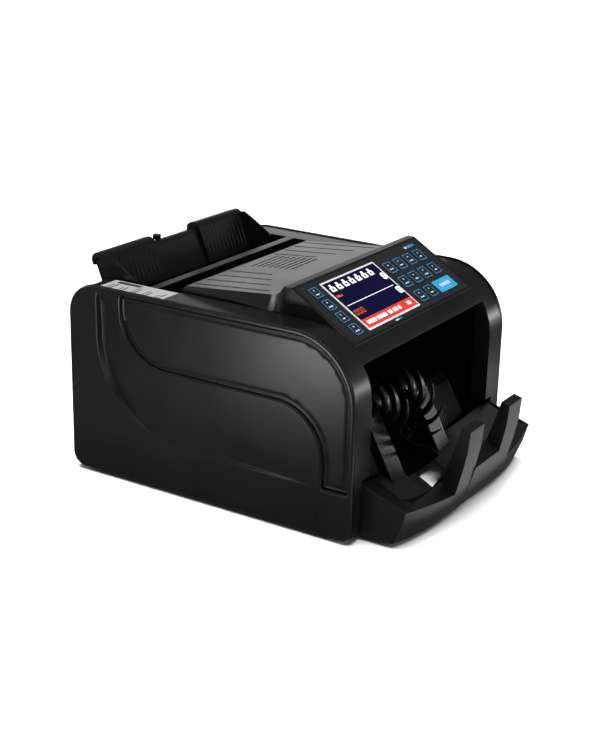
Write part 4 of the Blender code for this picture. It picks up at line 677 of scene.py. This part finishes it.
def bladeWheel(side, word):
    # A blade is a strip whose middle line winds out from the hub; its thickness thins and its width comes to a
    # point at the tip. The hub is a ring with a hole for the shaft, as a profile turned round X.
    w = wheel
    steps = np.linspace(0, 1, 22)
    reach = w["radius"] - w["hub"] + w["sunk"]
    radius = w["hub"] - w["sunk"] + reach * steps
    angle = -math.radians(w["sweep"]) * steps ** 1.25
    thick = w["tip"] + (w["root"] - w["tip"]) * (1 - steps) ** 0.8
    wide = w["half"] * np.clip((1 - steps) / w["taper"], 0.04, 1) ** 0.8
    section = ((-1, -0.5), (-1, 0.5), (-0.85, 0.62), (0.85, 0.62), (1, 0.5), (1, -0.5), (0.85, -0.62), (-0.85, -0.62))
    parts = []
    for k in range(w["blades"]):
        turn = angle - 2 * math.pi * k / w["blades"]
        line = np.stack([radius * np.cos(turn), radius * np.sin(turn)], 1)
        along = np.gradient(line, axis=0)
        out = np.stack([-along[:, 1], along[:, 0]], 1) / np.linalg.norm(along, axis=1)[:, None]
        ring = []
        for across, lift in section:
            yz = line + out * (thick * lift)[:, None]
            ring.append(np.stack([side * w["x"] + wide * across, w["y"] + yz[:, 0], w["z"] + yz[:, 1]], 1))
        grid = np.stack(ring, 1)
        count, last = len(section), (len(steps) - 1) * len(section)
        faces = tube(grid, False).tolist() + [tuple(range(count)), tuple(range(last, last + count))[::-1]]
        parts.append((grid.reshape(-1, 3).tolist(), faces, [0] * len(faces)))
    circle = np.linspace(0, 2 * math.pi, 48, endpoint=False)
    half, hub, cut = w["half"], w["hub"], w["chamfer"]
    profile = [(w["bore"], -half), (hub - cut, -half), (hub, cut - half), (hub, half - cut), (hub - cut, half),
               (w["bore"], half)]
    grid = np.stack([np.stack([np.full(48, side * w["x"] + u), w["y"] + r * np.cos(circle),
                               w["z"] + r * np.sin(circle)], 1) for r, u in profile])
    faces = tube(grid, True).tolist()
    parts.append((grid.reshape(-1, 3).tolist(), faces, [0] * len(faces)))
    points, faces, tones = together(parts)
    made = clean(toObject(word + "_wheel", points, faces, [materials["gloss_black_pom"]]))
    made.data.set_sharp_from_angle(angle=math.radians(w["sharp"]))
    standFor(made, word + "_stacker_wheel")


for side, word in ((-1, "left"), (1, "right")):
    bladeWheel(side, word)
print("wheels made")


# ---- mouldings that keep their node's shape, with rounded edges

edgeWidths = {
    "main_housing": 1.2, "console_housing": 1.0, "catch_tray": 0.7, "hopper_back_plate": 0.8, "feed_table": 0.5,
    "left_note_guide": 0.5, "right_note_guide": 0.5, "left_chute": 0.4, "right_chute": 0.4, "power_switch": 0.4,
    "feed_gap_knob": 0.12, "left_feed_roller": 0.6, "right_feed_roller": 0.6, "pickup_roller": 0.5,
    "transport_roller": 0.5, "foot_front_left": 0.4, "foot_front_right": 0.4, "foot_rear_left": 0.4,
    "foot_rear_right": 0.4}
unjoined = ("console_housing", "catch_tray")  # their flat faces have holes, so the triangles stay


def lidEdge(x, y, z):
    # the lid's outer edges; those of its slots and grooves stay crisp
    return (abs(x) > 84 or y > 68.9 or y < -22) and z > 154.6


for name, width in edgeWidths.items():
    roundedCopy(name, width, name not in unjoined, lidEdge if name == "console_housing" else None)
print("mouldings made:", len(edgeWidths))


# ---- ribs and the label

rib = {"fade": 1.5, "root": 0.05, "points": 6}  # length of the run-out at each end, how far the foot is sunk in
# where the tray's floor starts to fall, how steeply, and the rounded value that its ribs follow
trayFloor = {"y": -84.2, "z": 27.0, "fall": 15.0 / 28.8, "ribFall": 0.5208}


def floorAt(y, fall):
    return y, trayFloor["z"] + (y - trayFloor["y"]) * trayFloor[fall]


def leaning(point, slope, heights):
    # the points at these heights on a face that leans back through a point (y, z)
    return [(point[0] + (z - point[1]) / math.tan(math.radians(slope)), z) for z in heights]


def ribs(name, node, starts, ends, normal, width, height):
    # Each rib is a half-round profile across X carried along a straight line, faded into the face at both ends.
    starts, ends, normal = (np.asarray(v, float) for v in (starts, ends, normal))
    length = np.linalg.norm(ends - starts, axis=1)[:, None]
    fade = np.minimum(rib["fade"] / length, 0.4)
    share = np.concatenate([0 * fade, fade, 1 - fade, 0 * fade + 1], 1)
    lift = np.array([0.0, 1.0, 1.0, 0.0])
    angle = np.linspace(0, np.pi, rib["points"])
    across, up = -np.cos(angle) * width / 2, np.sin(angle) * height - rib["root"]
    line = starts[:, None] + (ends - starts)[:, None] * share[..., None]
    grid = line[:, :, None, :] + across[:, None] * np.array([1.0, 0, 0])
    grid = grid + (up[None, :] * lift[:, None] - rib["root"])[None, :, :, None] * normal
    count, rows, cols = grid.shape[:3]
    k = np.arange(count)[:, None, None] * rows * cols
    i = np.arange(rows - 1)[None, :, None] * cols
    j = np.arange(cols - 1)[None, None, :]
    first = k + i + j
    faces = np.stack([first, first + 1, first + cols + 1, first + cols], -1).reshape(-1, 4)
    corner = grid.reshape(-1, 3)[faces[0]]
    if np.cross(corner[1] - corner[0], corner[3] - corner[0]) @ normal < 0:
        faces = faces[:, ::-1]
    made = toObject(name, grid.reshape(-1, 3), faces.tolist(), [materials[nodeSlot[node]]])
    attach(made, nodeBody[node])


toe = floorAt(-95.5, "fall")
ribbing = {  # node, x from and to, first and last point (y, z), slope of the face, pitch, width and height
    "guide_ribs": ("note_guide", (35.0, 90.0), leaning((133.2, 149.0), 68.0, (142.0, 168.5)), 68.0, 5.2, 1.5, 0.55),
    "inner_lane_ribs": ("chute", (29.6, 45.6), leaning(toe, 61.5, (toe[1] + 3.0, 62.5)), 61.5, 2.9, 1.3, 0.45),
    "outer_lane_ribs": ("chute", (49.4, 93.0), leaning((toe[0] + 8.0, toe[1]), 61.5, (toe[1] + 8.0, 58.5)),
                        61.5, 2.9, 1.3, 0.45),
    "floor_ribs": ("catch_tray", (27.0, 56.0), [floorAt(y, "ribFall") for y in (-88.0, -112.0)],
                   math.degrees(math.atan(trayFloor["fall"])), 2.3, 1.1, 0.32)}
for side, word in ((-1, "left"), (1, "right")):
    for kind, (node, span, line, slope, pitch, width, height) in ribbing.items():
        node = node if node in nodeBody else word + "_" + node
        slope = math.radians(slope)
        x = side * np.arange(*span, pitch)
        starts, ends = (np.stack([x, 0 * x + y, 0 * x + z], 1) for y, z in line)
        ribs(word + "_" + kind, node, starts, ends, (0, -math.sin(slope), math.cos(slope)), width, height)

label = {"corner": (-118.0, 67.5), "size": (21.2, 60.0), "deck": 153.8, "proud": 0.16, "ink": 0.19, "pitch": 11.4}


def onDeck(x, y, up):
    return np.stack(np.broadcast_arrays(np.asarray(x, float), y, label["deck"] + np.asarray(up, float)), -1)


(x0, y0), up = label["corner"], label["ink"]
labelShapes = [bar(x0, y0, *label["size"], label["proud"], 0)]
for k in range(5):  # five pairs of printed lines, and a block beside them
    y = y0 + 4.5 + k * label["pitch"]
    labelShapes += [bar(x0 + 2.0, y, 11.0 - 2 * (k % 2), 1.3, up, 1),
                    bar(x0 + 2.0, y + 3.4, 7.0 + 3 * (k % 3), 1.0, up, 1)]
labelShapes.append(bar(x0 + 15.0, y0 + 32.5, 4.6, 22.0, up, 1))
points, faces, tones = patches(labelShapes, onDeck)
foil = toObject("deck_label", points, [f[::-1] for f in faces], [inks["label"], inks["dark"]], tones, smooth=False)
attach(foil, nodeBody["main_housing"])
print("ribs and label made")

for name, item in frame["nodes"].items():  # the nodes that stay as they are
    if not item.hide_render:
        item.data.materials.clear()
        item.data.materials.append(materials[nodeSlot[name]])


# ---- floor, light and camera

# Half is the floor's half width in metres, world and ceiling are the sky low down and overhead, and the suns' angle is
# in degrees.
stage = {"floor": ("#f2f2f1", "#f6f6f5"), "half": 9.0, "world": 0.085, "ceiling": 0.55, "ceilingFrom": (0.64, 0.9),
         "floorSun": 3.7, "overhead": 2.2, "sunAngle": 60}
boxes = {  # place, target, size and power of each softbox; the cards lie on the floor and face up
    "rearRight": ((1.42, 0.93, 0.42), (0.0, 0.0, 0.16), (0.55, 0.24), 0.9),  # the lid
    "frontRight": ((1.20, -0.92, 0.11), (0, -0.12, 0.06), (0.9, 0.2), 3.4),  # the columns and the blades
    "front": ((-0.2, -1.4, 0.6), (0, -0.1, 0.08), (0.8, 0.5), 2.0),
    "rearLeft": ((-0.5, 1.5, 0.6), (0.0, 0.1, 0.08), (0.7, 0.5), 6.0),  # edges seen from behind
    "leftCard": ((-0.52, 0.12, 0.004), (-0.52, 0.12, 1.0), (0.16, 0.13), 1.1),  # this and the next: the left side
    "wideCard": ((-0.28, 0.17, 0.004), (-0.28, 0.17, 1.0), (0.22, 0.20), 0.012),
    "frontCard": ((0.08, -0.21, 0.003), (0.08, -0.21, 1.0), (0.46, 0.12), 0.11)}  # the apron and the prongs


def softbox(name, place, target, size, power):
    # a rectangular lamp turned towards its target
    lamp = bpy.data.lights.new(name, "AREA")
    lamp.shape = "RECTANGLE"
    lamp.size, lamp.size_y = size
    lamp.energy = power
    made = bpy.data.objects.new(name, lamp)
    back = np.array(place, float) - np.array(target, float)
    back /= np.linalg.norm(back)
    right = np.cross((0, 1, 0) if abs(back[2]) > 0.95 else (0, 0, 1), back)
    right /= np.linalg.norm(right)
    up = np.cross(back, right)
    turn = np.eye(4)
    turn[:3, 0], turn[:3, 1], turn[:3, 2], turn[:3, 3] = right, up, back, place
    made.matrix_world = Matrix(turn.tolist())
    made.visible_camera = False
    bpy.context.scene.collection.objects.link(made)


half = stage["half"]
floorMesh = bpy.data.meshes.new("floor")
floorMesh.from_pydata([(-half, -half, 0), (half, -half, 0), (half, half, 0), (-half, half, 0)], [], [(0, 1, 2, 3)])
floor = bpy.data.objects.new("floor", floorMesh)
bpy.context.scene.collection.objects.link(floor)
floorMesh.materials.append(grained("floor_paper", {
    "colours": stage["floor"], "roughness": (0.85, 0.95), "grainMm": 4, "driftMm": 300, "bump": 0.02,
    "reliefMm": 0.1, "specular": 0.2}))
floor.visible_glossy = False  # the paper stays out of the sheen, which the boxes and cards make

world = bpy.data.worlds.new("studio")
world.use_nodes = True
tree = world.node_tree
seen = addNode(tree, "ShaderNodeLightPath").outputs["Is Camera Ray"]
way = addNode(tree, "ShaderNodeTexCoord").outputs["Generated"]
height = addNode(tree, "ShaderNodeSeparateXYZ", None, {0: way}).outputs["Z"]
low, high = stage["ceilingFrom"]
sky = addNode(tree, "ShaderNodeMapRange", {
    "From Min": low, "From Max": high, "To Min": stage["world"], "To Max": stage["ceiling"]}, {"Value": height})
tint = addNode(tree, "ShaderNodeMapRange", {"To Max": 1.0}, {"Value": seen, "To Min": sky.outputs["Result"]})
tree.links.new(tint.outputs["Result"], tree.nodes["Background"].inputs["Strength"])
tree.nodes["Background"].inputs["Color"].default_value = (1, 1, 1, 1)
bpy.context.scene.world = world

for name, looks in boxes.items():
    softbox(name, *looks)
onlyFloor = bpy.data.collections.new("onlyFloor")
onlyFloor.objects.link(floor)
for name in ("floorSun", "overhead"):
    skyLamp = bpy.data.lights.new(name, "SUN")
    skyLamp.energy = stage[name]
    skyLamp.angle = math.radians(stage["sunAngle"])
    made = bpy.data.objects.new(name, skyLamp)
    made.visible_glossy = False
    bpy.context.scene.collection.objects.link(made)
    if name == "floorSun":  # the paper is lit on its own, so that it doesn't dull the black
        made.light_linking.receiver_collection = onlyFloor

camera = {"azimuth": -58.1, "elevation": 19.7, "roll": 1.37, "lens": 71.03, "sensor": 36.0,
          "place": (-0.9518, -0.5734, 0.4723)}  # degrees, millimetres, and metres for the place


def makeCamera():
    az, el, roll = (math.radians(camera[k]) for k in ("azimuth", "elevation", "roll"))
    back = np.array((math.sin(az) * math.cos(el), -math.cos(az) * math.cos(el), math.sin(el)))
    right = np.array((math.cos(az), math.sin(az), 0.0))
    up = np.cross(back, right)
    turn = np.eye(4)
    turn[:3, 0] = right * math.cos(roll) + up * math.sin(roll)
    turn[:3, 1] = up * math.cos(roll) - right * math.sin(roll)
    turn[:3, 2] = back
    turn[:3, 3] = camera["place"]
    lens = bpy.data.cameras.new("camera")
    lens.lens = camera["lens"]
    lens.sensor_width = camera["sensor"]
    made = bpy.data.objects.new("camera", lens)
    made.matrix_world = Matrix(turn.tolist())
    bpy.context.scene.collection.objects.link(made)
    bpy.context.scene.camera = made


makeCamera()
bpy.context.scene.view_settings.view_transform = "Standard"
print("stage made")
